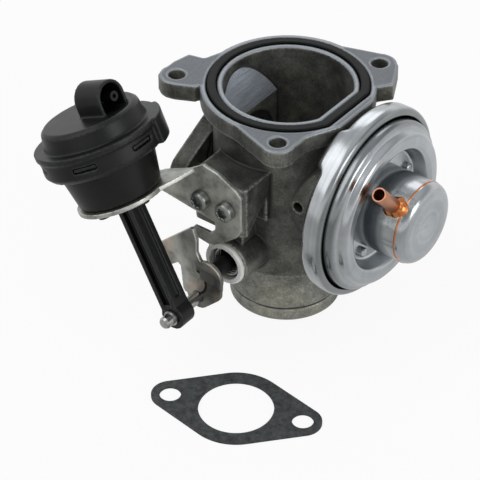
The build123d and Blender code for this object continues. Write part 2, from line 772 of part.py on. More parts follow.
with BuildPart() as actuator_piston:
    with BuildSketch(actuator_profile):
        with BuildLine():
            Polyline(
                (piston_socket, 1.0),
                (piston_socket + 1.4, 1.0),
                (piston_socket + 1.4, piston_rest),
                (piston_radius, piston_rest),
                (piston_radius, piston_top),
                (piston_socket + 1.4, piston_top),
                (piston_socket + 1.4, piston_top + 4.0),
                (0, piston_top + 4.0),
                (0, piston_top + 2.6),
                (piston_socket, piston_top + 2.6),
                close=True,
            )
        make_face()
    revolve(axis=actuator_axis)
save(actuator_piston.part, "actuator_piston")

with BuildPart() as actuator_diaphragm:
    with BuildSketch(actuator_profile):
        with BuildLine():
            Polyline(
                (piston_socket + 1.5, piston_top),
                (piston_radius + 0.6, piston_top),
                (piston_radius + 3.4, cup_rim - 3.0),
                (cup_flange - plastic_wall, cup_rim),
                (cup_flange, cup_rim),
                (cup_flange, cup_rim + diaphragm),
                (cup_flange - plastic_wall - 0.4, cup_rim + diaphragm),
                (piston_radius + 2.6, cup_rim - 2.4),
                (piston_radius, piston_top + diaphragm),
                (piston_socket + 1.5, piston_top + diaphragm),
                close=True,
            )
        make_face()
    revolve(axis=actuator_axis)
save(actuator_diaphragm.part, "actuator_diaphragm")

actuator_spring_base = piston_top + diaphragm + 1.0
actuator_spring_top = cap_top - plastic_wall - 1.0
with BuildPart() as actuator_spring:
    with BuildLine():
        coil = Helix(
            pitch=(actuator_spring_top - actuator_spring_base) / 4,
            height=actuator_spring_top - actuator_spring_base,
            radius=10.5,
            center=actuator_plane(actuator_spring_base).origin,
            direction=(up_x, 0, up_z),
        )
    with BuildSketch(Plane(origin=coil @ 0, z_dir=coil % 0)):
        Circle(0.8)
    sweep()
save(actuator_spring.part, "actuator_spring")

# ========================================================================================
# Capsule and gas valve
# ========================================================================================
rim_front_x = capsule_x + rim_depth
chamber_x = capsule_x + 4.0             # where the diaphragm is clamped
with BuildPart() as capsule_base:
    with BuildSketch(valve_profile) as rim_section:
        with BuildLine():
            Polyline(
                (capsule_x, stem_radius + 2.0),
                (capsule_x, 30.0),
                (capsule_x - 1.0, 33.0),
                (capsule_x - 1.0, rim_radius),
                (rim_front_x, rim_radius),
                (rim_front_x, rim_radius - 3.4),
                (rim_front_x - steel, rim_radius - 3.4),
                (rim_front_x - steel, rim_radius - steel),
                (chamber_x, rim_radius - steel),
                (chamber_x, rim_radius - 6.0),
                (capsule_x + steel, 34.0),
                (capsule_x + steel, stem_radius + 2.0),
                close=True,
            )
        make_face()
        fillet(rim_section.vertices().group_by(Axis.Y)[-1], 2.6)
    revolve(axis=valve_axis)
    # deeper part of the skirt behind the rim
    with BuildSketch(across_valve(capsule_x - 1.0 - skirt_depth)):
        Circle(rim_radius)
        Circle(rim_radius - 2 * steel, mode=Mode.SUBTRACT)
        Polygon(
            (0, 0), (80 * cos(radians(skirt_start)), 80 * sin(radians(skirt_start))),
            (80 * cos(radians(skirt_end)), 80 * sin(radians(skirt_end))), align=None,
            mode=Mode.INTERSECT
        )
    extrude(amount=skirt_depth + 3.0)
save(capsule_base.part, "capsule_base")

with BuildPart() as capsule_cover:
    with BuildSketch(valve_profile):
        with BuildLine():
            FilletPolyline(
                (chamber_x + 1.6, rim_radius - steel - 0.2),
                (chamber_x + 1.6, step_radius),
                (rim_front_x + 3.0, step_radius - 0.2),
                (rim_front_x + 4.2, step_radius - 3.4),
                (plateau_x - 0.2, step_radius - 4.2),
                (plateau_x, dish_radius + 2.4),
                (dish_floor_x - steel / 2, dish_radius),
                (dish_floor_x - steel / 2, cup_radius + 0.1),
                radius=sheet_bend,
            )
        trace(line_width=steel)
    revolve(axis=valve_axis)
    with BuildSketch(across_valve(dish_floor_x - 2)):
        for spot_radius, spot_angle in rivet_spots:
            with PolarLocations(spot_radius, 1, start_angle=spot_angle):
                Circle(1.5)
    extrude(amount=3, mode=Mode.SUBTRACT)
save(capsule_cover.part, "capsule_cover")

with BuildPart() as cover_rivets:
    with BuildSketch(across_valve(dish_floor_x)):
        for spot_radius, spot_angle in rivet_spots:
            with PolarLocations(spot_radius, 1, start_angle=spot_angle):
                Circle(2.2)
    extrude(amount=2.0)
    fillet(cover_rivets.faces().sort_by(Axis.X)[-2:].edges(), 0.8)
    with BuildSketch(across_valve(dish_floor_x)):
        for spot_radius, spot_angle in rivet_spots:
            with PolarLocations(spot_radius, 1, start_angle=spot_angle):
                Circle(1.5)
    extrude(amount=-steel - 1.0)
save(cover_rivets.part, "cover_rivets")

with BuildPart() as capsule_cup:
    with BuildSketch(across_valve(dish_floor_x - steel)):
        Circle(cup_radius)
        Circle(cup_radius - steel, mode=Mode.SUBTRACT)
    extrude(amount=cap_joint_x - dish_floor_x + steel)
    with BuildSketch(nipple_plane(0)):
        Circle(nipple_root)
    extrude(amount=2 * cup_radius, mode=Mode.SUBTRACT)
save(capsule_cup.part, "capsule_cup")

with BuildPart() as cup_braze:
    with BuildSketch(across_valve(cap_joint_x)):
        Circle(cup_radius)
        Circle(cup_radius - steel, mode=Mode.SUBTRACT)
    extrude(amount=cap_joint)
save(cup_braze.part, "cup_braze")

with BuildPart() as capsule_cap:
    with BuildSketch(valve_profile) as cap_section:
        with BuildLine():
            Polyline(
                (cap_joint_x + cap_joint, cup_radius), (cup_end_x, cup_radius), (cup_end_x, 0),
                (cup_end_x - steel, 0), (cup_end_x - steel, cup_radius - steel),
                (cap_joint_x + cap_joint, cup_radius - steel), close=True,
            )
        make_face()
        fillet(cap_section.vertices().group_by(Axis.X)[-1].sort_by(Axis.Y)[-1], cup_fillet)
        fillet(
            cap_section.vertices().filter_by_position(
                Axis.X, cup_end_x - steel - 0.01, cup_end_x - steel + 0.01
            ).sort_by(Axis.Y)[-1],
            cup_fillet - steel - 0.1
        )
    revolve(axis=valve_axis)
save(capsule_cap.part, "capsule_cap")

with BuildPart() as capsule_nipple:
    with BuildSketch(nipple_plane(cup_radius - steel - 0.6)):
        Circle(nipple_root)
    extrude(amount=steel + 0.6 + braze_height)
    with BuildSketch(nipple_plane(cup_radius + braze_height)):
        Circle(nipple_radius)
    extrude(amount=nipple_end - cup_radius - braze_height)
    with BuildSketch(nipple_plane(0)):
        Circle(nipple_bore)
    extrude(amount=2 * nipple_end, mode=Mode.SUBTRACT)
save(capsule_nipple.part, "capsule_nipple")

with BuildPart() as nipple_braze:
    with BuildSketch(nipple_plane(cup_radius - 1.4)):
        Circle(nipple_radius + braze_rim)
    extrude(amount=1.4 + braze_height, taper=28)
    with BuildSketch(nipple_plane(0)):
        Circle(nipple_root)
    extrude(amount=2 * cup_radius, mode=Mode.SUBTRACT)
    with BuildSketch(across_valve(dish_floor_x)):
        Circle(cup_radius)
    extrude(amount=cup_end_x, mode=Mode.SUBTRACT)
save(nipple_braze.part, "nipple_braze")

with BuildPart() as valve_stem:
    with BuildSketch(across_valve(seat_face_x - 2.0)):
        Circle(stem_radius)
    extrude(amount=chamber_x + 6.0 - seat_face_x + 2.0)
save(valve_stem.part, "valve_stem")

with BuildPart() as valve_poppet:
    with BuildSketch(valve_profile):
        with BuildLine():
            Polyline(
                (seat_face_x - 2.0, stem_radius),
                (seat_face_x - 2.0, seat_bore - seat_gap - 1.2),
                (seat_face_x - 1.2, seat_bore - seat_gap),
                (seat_face_x + 1.5, poppet_radius - seat_gap),
                (seat_face_x + 2.5, poppet_radius - 1.2),
                (seat_face_x + 2.5, stem_radius + 3.0),
                (seat_face_x + 6.0, stem_radius),
                close=True,
            )
        make_face()
    revolve(axis=valve_axis)
save(valve_poppet.part, "valve_poppet")

plate_x = capsule_x + steel + free_gap - 0.1
with BuildPart() as capsule_piston:
    with BuildSketch(valve_profile):
        with BuildLine():
            Polyline(
                (plate_x, stem_radius), (plate_x, 30.0),
                (plate_x + steel, 30.0), (plate_x + steel, stem_radius), close=True,
            )
        make_face()
    revolve(axis=valve_axis)
save(capsule_piston.part, "capsule_piston")

with BuildPart() as capsule_diaphragm:
    with BuildSketch(valve_profile):
        with BuildLine():
            Polyline(
                (plate_x + steel, stem_radius), (plate_x + steel, 30.8), (chamber_x, 35.0),
                (chamber_x, rim_radius - steel - 0.1), (chamber_x + 0.9, rim_radius - steel - 0.1),
                (chamber_x + 0.9, 34.8), (plate_x + steel + 0.9, 30.6),
                (plate_x + steel + 0.9, stem_radius), close=True,
            )
        make_face()
    revolve(axis=valve_axis)
save(capsule_diaphragm.part, "capsule_diaphragm")

capsule_spring_start = plate_x + steel + 0.9 + 1.1
with BuildPart() as capsule_spring:
    with BuildLine():
        coil = Helix(
            pitch=(cup_end_x - steel - 1.1 - capsule_spring_start) / 4,
            height=cup_end_x - steel - 1.1 - capsule_spring_start,
            radius=cup_radius - steel - cup_fillet,
            center=(capsule_spring_start, 0, valve_z), direction=(1, 0, 0),
        )
    with BuildSketch(Plane(origin=coil @ 0, z_dir=coil % 0)):
        Circle(1.0)
    sweep()
save(capsule_spring.part, "capsule_spring")

# ========================================================================================
# Loose inlet gasket
# ========================================================================================
with BuildPart() as inlet_gasket:
    with BuildSketch(Plane(
        origin=(gasket_x, gasket_y, 0),
        x_dir=(cos(radians(gasket_angle)), sin(radians(gasket_angle)), 0), z_dir=(0, 0, 1),
    )):
        with BuildLine():
            CenterArc((0, 0), gasket_body, 0, 360)
            CenterArc((inlet_pitch / 2, 0), gasket_ear, 0, 360)
            CenterArc((-inlet_pitch / 2, 0), gasket_ear, 0, 360)
        make_hull()
        Circle(gasket_bore, mode=Mode.SUBTRACT)
        with Locations((inlet_pitch / 2, 0), (-inlet_pitch / 2, 0)):
            Circle(gasket_hole, mode=Mode.SUBTRACT)
    extrude(amount=gasket_thickness)
save(inlet_gasket.part, "inlet_gasket")
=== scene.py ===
"""Looks of a vacuum-operated exhaust gas valve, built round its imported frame."""

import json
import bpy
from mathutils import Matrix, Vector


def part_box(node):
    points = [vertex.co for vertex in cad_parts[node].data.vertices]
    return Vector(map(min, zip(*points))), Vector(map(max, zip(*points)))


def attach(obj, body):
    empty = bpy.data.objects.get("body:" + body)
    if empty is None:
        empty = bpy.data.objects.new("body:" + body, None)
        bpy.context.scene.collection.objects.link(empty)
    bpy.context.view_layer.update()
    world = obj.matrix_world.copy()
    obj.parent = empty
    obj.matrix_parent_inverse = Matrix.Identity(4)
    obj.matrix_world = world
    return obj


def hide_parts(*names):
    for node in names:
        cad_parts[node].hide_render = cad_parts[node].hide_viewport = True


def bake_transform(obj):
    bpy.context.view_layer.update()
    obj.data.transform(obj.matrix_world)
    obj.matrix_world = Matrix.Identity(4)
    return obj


bl_info = {
    "name": "Exhaust gas valve looks",
    "version": (1, 0, 0),
    "blender": (4, 5, 0),
    "location": "View3D > Sidebar > Gas Valve",
    "description": "Casting, capsule, actuator and linkage of a vacuum-operated exhaust gas valve",
    "category": "Object",
}

from math import cos, pi, radians, sin

import bmesh
import bpy
import numpy as np
from bpy.props import FloatProperty, FloatVectorProperty, PointerProperty
from mathutils import Vector

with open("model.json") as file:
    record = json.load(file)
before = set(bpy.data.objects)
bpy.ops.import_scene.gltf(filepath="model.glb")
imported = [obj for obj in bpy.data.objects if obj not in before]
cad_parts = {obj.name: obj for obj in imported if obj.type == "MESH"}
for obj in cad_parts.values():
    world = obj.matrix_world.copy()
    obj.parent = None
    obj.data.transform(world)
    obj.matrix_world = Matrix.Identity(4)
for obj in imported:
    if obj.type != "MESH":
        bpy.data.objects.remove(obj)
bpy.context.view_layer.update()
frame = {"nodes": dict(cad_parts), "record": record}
BASE_LOW, BASE_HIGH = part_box("capsule_base")
CAP_LOW, CAP_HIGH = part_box("capsule_cap")
RING_LOW, RING_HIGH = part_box("cup_braze")
SLOTS = {part["node"]: part["material_slot"] for part in frame["record"]["subparts"]}
MM = 0.001
WELD = 0.002 * MM       # points nearer than this are one
CREASE = radians(38)    # faces that meet at more than this stay sharp


# ---- surfaces ---------------------------------------------------------------------------
def rounded(points, radii, steps=5):
    """A closed outline with its corners rounded.

    At each corner the arc runs from one side's tangent point to the other's about the centre
    that lies on the corner's bisector: the two radius vectors a and b are blended by
    (sin((1 - s) w) a + sin(s w) b) / sin w, where w is the angle between them."""
    corner = np.array(points, float)
    radius = np.maximum(np.array(radii, float), 1e-7)
    back = np.roll(corner, 1, axis=0) - corner
    ahead = np.roll(corner, -1, axis=0) - corner
    back /= np.linalg.norm(back, axis=1)[:, None]
    ahead /= np.linalg.norm(ahead, axis=1)[:, None]
    opening = np.arccos(np.clip((back * ahead).sum(1), -0.99999, 0.99999))
    reach = radius / np.tan(opening / 2)
    bisector = back + ahead
    bisector /= np.maximum(np.linalg.norm(bisector, axis=1), 1e-9)[:, None]
    centre = corner + bisector * (radius / np.sin(opening / 2))[:, None]
    a = corner + back * reach[:, None] - centre
    b = corner + ahead * reach[:, None] - centre
    turn = np.maximum(pi - opening, 1e-4)[:, None]
    s = np.linspace(0, 1, steps)[None, :]
    arc = (np.sin((1 - s) * turn)[..., None] * a[:, None]
           + np.sin(s * turn)[..., None] * b[:, None]) / np.sin(turn)[..., None]
    return (centre[:, None] + arc).reshape(-1, 2)


def bent_path(points, radius, steps=9):
    """An open path with every corner between its ends rounded to one radius."""
    path = np.array(points, float)
    arcs = rounded(path, np.full(len(path), radius), steps).reshape(len(path), steps, 2)
    return np.vstack([path[:1], arcs[1:-1].reshape(-1, 2), path[-1:]])


def pressed(points, radius, thickness, steps=9):
    """The closed outline of a bent sheet: its middle path moved half a thickness each way
    along the path's normal."""
    path = bent_path(points, radius, steps)
    run = np.gradient(path, axis=0)
    run /= np.linalg.norm(run, axis=1)[:, None]
    side = np.stack([-run[:, 1], run[:, 0]], axis=1) * thickness / 2
    return np.vstack([path + side, (path - side)[::-1]])


def smooth_step(value, start, end):
    """0 before start, 1 after end, and 3 t^2 - 2 t^3 between them."""
    t = np.clip((value - start) / (end - start), 0, 1)
    return t * t * (3 - 2 * t)


def grid_faces(rows, columns, rows_close, columns_close):
    """Quads of a grid of rows x columns points, whose ends may join up."""
    r = np.arange(rows if rows_close else rows - 1)
    c = np.arange(columns if columns_close else columns - 1)
    r, c = np.meshgrid(r, c, indexing="ij")
    r2, c2 = (r + 1) % rows, (c + 1) % columns
    return np.stack([r * columns + c, r2 * columns + c, r2 * columns + c2, r * columns + c2],
                    axis=-1).reshape(-1, 4)


def surface(name, points, faces, body, material):
    """A smooth mesh object from arrays of points and faces, welded, with faces outwards."""
    mesh = bpy.data.meshes.new(name)
    mesh.from_pydata(np.asarray(points, float).tolist(), [], np.asarray(faces).tolist())
    bm = bmesh.new()
    bm.from_mesh(mesh)
    bmesh.ops.remove_doubles(bm, verts=bm.verts, dist=WELD)
    bmesh.ops.dissolve_degenerate(bm, edges=bm.edges, dist=1e-7)
    open_edges = [e for e in bm.edges if e.is_boundary]
    if open_edges:
        bmesh.ops.holes_fill(bm, edges=open_edges, sides=0)
    bmesh.ops.recalc_face_normals(bm, faces=bm.faces)
    bm.to_mesh(mesh)
    bm.free()
    return finished(name, mesh, body, material)


def finished(name, mesh, body, material):
    """Links a mesh as a piece that rides on a body."""
    piece = bpy.data.objects.new(name, mesh)
    bpy.context.scene.collection.objects.link(piece)
    mesh.materials.clear()
    mesh.materials.append(material)
    mesh.shade_smooth()
    mesh.set_sharp_from_angle(angle=CREASE)
    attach(piece, body)
    return piece


def edge_and_corner_map(mesh, rounds=8, depth=0.22 * MM):
    """Adds the point attribute "edge": how far a point stands out of its surroundings, which
    are the surface after each point has moved to its neighbours' mean several times. It is
    above 0 on outer edges, below 0 in corners, and 1 stands for the given depth."""
    count = len(mesh.vertices)
    place = np.empty(count * 3)
    mesh.vertices.foreach_get("co", place)
    place = place.reshape(-1, 3)
    facing = np.empty(count * 3)
    mesh.vertices.foreach_get("normal", facing)
    ends = np.empty(len(mesh.edges) * 2, dtype=np.int32)
    mesh.edges.foreach_get("vertices", ends)
    a, b = ends.reshape(-1, 2).T
    degree = np.maximum(np.bincount(a, minlength=count) + np.bincount(b, minlength=count), 1)
    level = place.copy()
    for _ in range(rounds):
        total = [np.bincount(a, level[b, k], count) + np.bincount(b, level[a, k], count)
                 for k in range(3)]
        level = np.stack(total, axis=1) / degree[:, None]
    stand = ((place - level) * facing.reshape(-1, 3)).sum(1) / depth
    mark = mesh.attributes.new("edge", "FLOAT", "POINT")
    mark.data.foreach_set("value", np.clip(stand, -1, 1).astype(np.float32))


def turned(outline, centre, along, across, segments=160):
    """Points and faces of a closed outline (radius, height) turned about an axis.

    Each point lies at centre + height * along + radius * (cos a * across + sin a * third)."""
    along, across = np.array(along, float), np.array(across, float)
    third = np.cross(along, across)
    angle = np.linspace(0, 2 * pi, segments, endpoint=False)
    ring = np.cos(angle)[:, None] * across + np.sin(angle)[:, None] * third
    outline = np.asarray(outline, float)
    points = (np.asarray(centre, float) + outline[None, :, 1, None] * along
              + outline[None, :, 0, None] * ring[:, None, :])
    return points.reshape(-1, 3), grid_faces(segments, len(outline), True, True)


def bake(piece):
    """Turns a piece's modifiers into its mesh."""
    graph = bpy.context.evaluated_depsgraph_get()
    mesh = bpy.data.meshes.new_from_object(piece.evaluated_get(graph), depsgraph=graph)
    piece.modifiers.clear()
    piece.data = mesh
    return mesh


def softened(node, name, body, material, voxel, rounds, keep):
    """A copy of a frame node with worn-in edges: its surface is rebuilt on a lattice of the
    given voxel, each point is drawn towards the mean of its neighbours in the given rounds,
    and a share of the faces is kept."""
    source = frame["nodes"][node]
    mesh = source.data.copy()
    mesh.name = name
    bm = bmesh.new()
    bm.from_mesh(mesh)
    bmesh.ops.remove_doubles(bm, verts=bm.verts, dist=1e-6)
    bm.to_mesh(mesh)
    bm.free()
    piece = finished(name, mesh, body, material)
    lattice = piece.modifiers.new("lattice", "REMESH")
    lattice.mode = "VOXEL"
    lattice.voxel_size = voxel
    relax = piece.modifiers.new("relax", "SMOOTH")
    relax.factor = 0.5
    relax.iterations = rounds
    edge_and_corner_map(bake(piece))
    piece.modifiers.new("thin", "DECIMATE").ratio = keep
    baked = bake(piece)
    baked.materials.clear()
    baked.materials.append(material)
    baked.shade_smooth()
    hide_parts(node)
    return piece


def dress(node, material):
    """Gives a frame node its finish."""
    piece = frame["nodes"][node]
    if not piece.material_slots:
        piece.data.materials.append(material)
    for place in piece.material_slots:
        place.material = material


# ---- finishes ---------------------------------------------------------------------------
def shader_group(name, inputs, outputs):
    """An empty shader group with named sockets: inputs are (name, kind, value)."""
    group = bpy.data.node_groups.new(name, "ShaderNodeTree")
    for label, kind, value in inputs:
        socket = group.interface.new_socket(name=label, in_out="INPUT", socket_type=kind)
        if value is not None:
            socket.default_value = value
    for label in outputs:
        group.interface.new_socket(name=label, in_out="OUTPUT", socket_type="NodeSocketFloat")
    return group, group.nodes.new("NodeGroupInput"), group.nodes.new("NodeGroupOutput")


def add(tree, kind, links=None, **values):
    """A node with settings (attributes) and linked or set inputs, given by name or number."""
    node = tree.nodes.new(kind)
    for key, value in values.items():
        setattr(node, key, value)
    for key, value in (links or {}).items():
        if isinstance(value, bpy.types.NodeSocket):
            tree.links.new(value, node.inputs[key])
        else:
            node.inputs[key].default_value = value
    return node


def ramp(tree, factor, *stops):
    """A colour ramp through (position, colour) stops."""
    node = tree.nodes.new("ShaderNodeValToRGB")
    tree.links.new(factor, node.inputs[0])
    marks = node.color_ramp.elements
    marks[0].position, marks[0].color = stops[0][0], (*stops[0][1], 1)
    marks[1].position, marks[1].color = stops[-1][0], (*stops[-1][1], 1)
    for place, colour in stops[1:-1]:
        mark = marks.new(place)
        mark.color = (*colour, 1)
    return node.outputs[0]


def combined(tree, operation, a, b, clamp=False):
    """Two numbers combined by a Math node's operation."""
    return add(tree, "ShaderNodeMath", {0: a, 1: b}, operation=operation,
               use_clamp=clamp).outputs[0]


def mixed(tree, share, a, b, blend="MIX"):
    """Colour a with a share of colour b over it, or of a times b with blend "MULTIPLY"."""
    return add(tree, "ShaderNodeMix", {0: share, 6: a, 7: b}, data_type="RGBA",
               blend_type=blend).outputs[2]


def noise(tree, place, scale, detail, roughness=0.5):
    """Noise from 0 to 1 at a place."""
    return add(tree, "ShaderNodeTexNoise", {"Vector": place, "Scale": scale, "Detail": detail,
                                            "Roughness": roughness}).outputs[0]


def span(tree, value, low, high):
    """Maps a range of values on to 0 to 1."""
    return add(tree, "ShaderNodeMapRange", {0: value, 1: low, 2: high}).outputs[0]


def from_point(tree, place, centre, plane=(1, 1, 1)):
    """Distance of a place from a centre, measured along the axes where plane is 1."""
    local = add(tree, "ShaderNodeVectorMath", {0: place, 1: centre}, operation="SUBTRACT")
    flat = add(tree, "ShaderNodeVectorMath", {0: local.outputs[0], 1: plane},
               operation="MULTIPLY")
    return add(tree, "ShaderNodeVectorMath", {0: flat.outputs[0]},
               operation="LENGTH").outputs["Value"]


def make_grain():
    """Group "grain": two scales of noise for a rough skin.

    Mask is the broad staining and Height the fine bumps."""
    group, given, out = shader_group(
        "grain",
        [("Vector", "NodeSocketVector", None), ("Fine", "NodeSocketFloat", 900.0),
         ("Broad", "NodeSocketFloat", 60.0)], ("Mask", "Height"))
    place, fine, broad = (given.outputs[label] for label in ("Vector", "Fine", "Broad"))
    group.links.new(noise(group, place, broad, 6.0, 0.62), out.inputs["Mask"])
    group.links.new(noise(group, place, fine, 4.0, 0.6), out.inputs["Height"])


def make_wear_and_painted_light():
    """Group "wear_and_painted_light": from the "edge" attribute, outer edges lightened as wear and
    as a painted highlight, and corners darkened as dirt and as painted shade, with the edges
    broken up by noise. A surface without the attribute has neither."""
    group, given, out = shader_group(
        "wear_and_painted_light",
        [("Vector", "NodeSocketVector", None), ("Edge gain", "NodeSocketFloat", 2.0),
         ("Corner gain", "NodeSocketFloat", 2.0)], ("Edge", "Corner"))
    stand = add(group, "ShaderNodeAttribute", attribute_name="edge").outputs["Fac"]
    chance = span(group, noise(group, given.outputs["Vector"], 900.0, 3.0), 0.35, 0.6)
    edge, corner = (
        combined(group, "MULTIPLY", span(group, stand, 0.22 * sign, 0.9 * sign),
                 given.outputs[gain], clamp=True)
        for gain, sign in (("Edge gain", 1.0), ("Corner gain", -1.0)))
    group.links.new(combined(group, "MULTIPLY", edge, chance, clamp=True), out.inputs["Edge"])
    group.links.new(corner, out.inputs["Corner"])


def make_scratches():
    """Group "scratches": noise drawn out along one direction, as handling and rolling leave."""
    group, given, out = shader_group(
        "scratches",
        [("Vector", "NodeSocketVector", None), ("Stretch", "NodeSocketVector", (40, 900, 900))],
        ("Height",))
    drawn = add(group, "ShaderNodeVectorMath", {0: given.outputs["Vector"],
                                               1: given.outputs["Stretch"]},
                operation="MULTIPLY")
    group.links.new(noise(group, drawn.outputs[0], 1.0, 3.0), out.inputs["Height"])


def make_lathe():
    """Group "lathe": rings about the X axis through Centre, by noise of the radius in Height,
    and soft clouds in Mask."""
    group, given, out = shader_group(
        "lathe",
        [("Vector", "NodeSocketVector", None), ("Centre", "NodeSocketVector", (0, 0, 0)),
         ("Pitch", "NodeSocketFloat", 2500.0)], ("Mask", "Height"))
    place, centre = given.outputs["Vector"], given.outputs["Centre"]
    local = add(group, "ShaderNodeVectorMath", {0: place, 1: centre}, operation="SUBTRACT")
    along = add(group, "ShaderNodeSeparateXYZ", {0: local.outputs[0]}).outputs[0]
    ring = add(group, "ShaderNodeCombineXYZ", {0: from_point(group, place, centre, (0, 1, 1)),
                                              1: along})
    group.links.new(noise(group, ring.outputs[0], given.outputs["Pitch"], 2.0),
                    out.inputs["Height"])
    group.links.new(noise(group, place, 45.0, 5.0, 0.6), out.inputs["Mask"])


class Finish:
    """A material with its Principled shader and object coordinates to hand."""

    def __init__(self, name):
        plain = bpy.data.materials.get(name)
        if plain:
            plain.name = name + "_frame"
        self.material = bpy.data.materials.new(name)
        self.material.use_nodes = True
        self.tree = self.material.node_tree
        self.shader = self.tree.nodes["Principled BSDF"]
        self.place = add(self.tree, "ShaderNodeTexCoord").outputs["Object"]

    def set(self, **values):
        for key, value in values.items():
            self.shader.inputs[key.replace("_", " ")].default_value = value

    def link(self, socket, target):
        self.tree.links.new(socket, self.shader.inputs[target])

    def group(self, name, **values):
        """A shader group's outputs at this material's object coordinates."""
        node = self.tree.nodes.new("ShaderNodeGroup")
        node.node_tree = bpy.data.node_groups[name]
        self.tree.links.new(self.place, node.inputs["Vector"])
        for key, value in values.items():
            node.inputs[key.replace("_", " ")].default_value = value
        return node.outputs

    def axes(self):
        """The object coordinates apart: x, y and z."""
        return add(self.tree, "ShaderNodeSeparateXYZ", {0: self.place}).outputs

    def bump(self, height, strength, distance):
        node = add(self.tree, "ShaderNodeBump", {"Height": height, "Strength": strength,
                                                "Distance": distance})
        self.link(node.outputs[0], "Normal")

    def spread(self, factor, low, high):
        """Maps a 0 to 1 factor on to a range of roughness or the like."""
        return add(self.tree, "ShaderNodeMapRange", {0: factor, 3: low, 4: high}).outputs[0]


def tone(colour, gain):
    """A colour made lighter or darker."""
    return tuple(min(gain * c, 1.0) for c in colour)


def paint(colour, gain):
    """A colour made lighter or darker, as a node's opaque colour."""
    return (*tone(colour, gain), 1)


def grey(level):
    """A plain grey."""
    return (level, level, level)


def cast_metal(colours):
    """Sand-cast aluminium: mottled dark skin with brown staining, edges lightened as wear and as a
    painted highlight, corners darkened as dirt and as painted shade, and bright machining on the
    top face, the ramp in the bore and the gas inlet's face. The inside of the bore is painted
    lighter and the ramp far lighter again, as painted light, and the machined faces' edges carry
    a bright line of wear and painted highlight."""
    top_face, inlet_face, inlet_top = 0.1065, -0.0343, 0.09
    ramp_side, ramp_radius, ramp_foot = -0.0188, 0.02675, 0.0856
    f = Finish("cast_aluminium")
    tree = f.tree
    grain = f.group("grain", Fine=1250.0, Broad=170.0)
    patches = f.group("grain", Fine=420.0, Broad=28.0)
    lines = f.group("scratches", Stretch=(2600.0, 90.0, 300.0))
    wear_and_painted_light = f.group("wear_and_painted_light", Edge_gain=1.0, Corner_gain=1.2)
    x, _, z = f.axes()
    radius = from_point(tree, f.place, (0, 0, 0), (1, 1, 0))

    skin = ramp(tree, grain["Mask"], (0.34, tone(colours.casting, 0.7)),
                (0.5, tuple(colours.casting)), (0.68, tone(colours.casting, 1.35)))
    stain = ramp(tree, patches["Mask"], (0.4, (0.62, 0.63, 0.61)), (0.5, grey(1.0)),
                 (0.64, (1.45, 1.4, 1.3)))
    speckle = ramp(tree, grain["Height"], (0.36, grey(0.8)), (0.5, grey(1.0)),
                   (0.64, (1.26, 1.25, 1.22)))
    # painted light: the inside of the bore, nearer its axis than the wall, is made up to 1.7 times
    # lighter
    duct_painted_light = ramp(tree, span(tree, radius, 0.0262, 0.0272), (0.0, (1.7, 1.72, 1.7)),
                (1.0, grey(1.0)))
    for shade in (stain, speckle, duct_painted_light):
        skin = mixed(tree, 1.0, skin, shade, "MULTIPLY")
    # corners darkened as dirt and as painted shade, outer edges lightened as wear and as a painted
    # highlight
    skin = mixed(tree, wear_and_painted_light["Corner"], skin, paint(colours.casting, 0.4))
    skin = mixed(tree, wear_and_painted_light["Edge"], skin, paint(colours.casting, 2.4))

    inlet = combined(tree, "MULTIPLY", combined(tree, "LESS_THAN", x, inlet_face),
                     combined(tree, "LESS_THAN", z, inlet_top))
    on_ramp = combined(tree, "MULTIPLY", combined(tree, "LESS_THAN", x, ramp_side),
                       combined(tree, "LESS_THAN", radius, ramp_radius))
    on_ramp = combined(tree, "MULTIPLY", on_ramp, combined(tree, "GREATER_THAN", z, ramp_foot))
    faces = combined(tree, "ADD", combined(tree, "GREATER_THAN", z, top_face), inlet, clamp=True)
    smooth = combined(tree, "ADD", faces, on_ramp, clamp=True)

    cut = ramp(tree, lines["Height"], (0.35, tone(colours.machined, 0.88)),
               (0.65, tone(colours.machined, 1.08)))
    spots = ramp(tree, grain["Height"], (0.38, (0.86, 0.86, 0.87)), (0.58, grey(1.04)))
    # painted light: the ramp in the bore is made nearly four times lighter than the other machined
    # faces
    ramp_painted_light = mixed(tree, on_ramp, (1, 1, 1, 1), (3.6, 3.7, 3.9, 1))
    for shade in (spots, ramp_painted_light):
        cut = mixed(tree, 1.0, cut, shade, "MULTIPLY")
    colour = mixed(tree, smooth, skin, cut)
    # a bright line along the outer edges of the machined faces: wear and a painted highlight
    stand = add(tree, "ShaderNodeAttribute", attribute_name="edge").outputs["Fac"]
    line = combined(tree, "MULTIPLY", span(tree, stand, 0.5, 1.0), smooth)
    f.link(mixed(tree, line, colour, paint(colours.machined, 2.0)), "Base Color")
    f.set(Metallic=0.75)
    rough = add(tree, "ShaderNodeMix", {0: smooth, 2: f.spread(grain["Mask"], 0.44, 0.64),
                                        3: f.spread(lines["Height"], 0.34, 0.55)})
    f.link(rough.outputs[0], "Roughness")
    depth = add(tree, "ShaderNodeMix", {0: smooth, 2: grain["Height"], 3: lines["Height"]})
    f.bump(depth.outputs[0], 0.5, 0.0002)


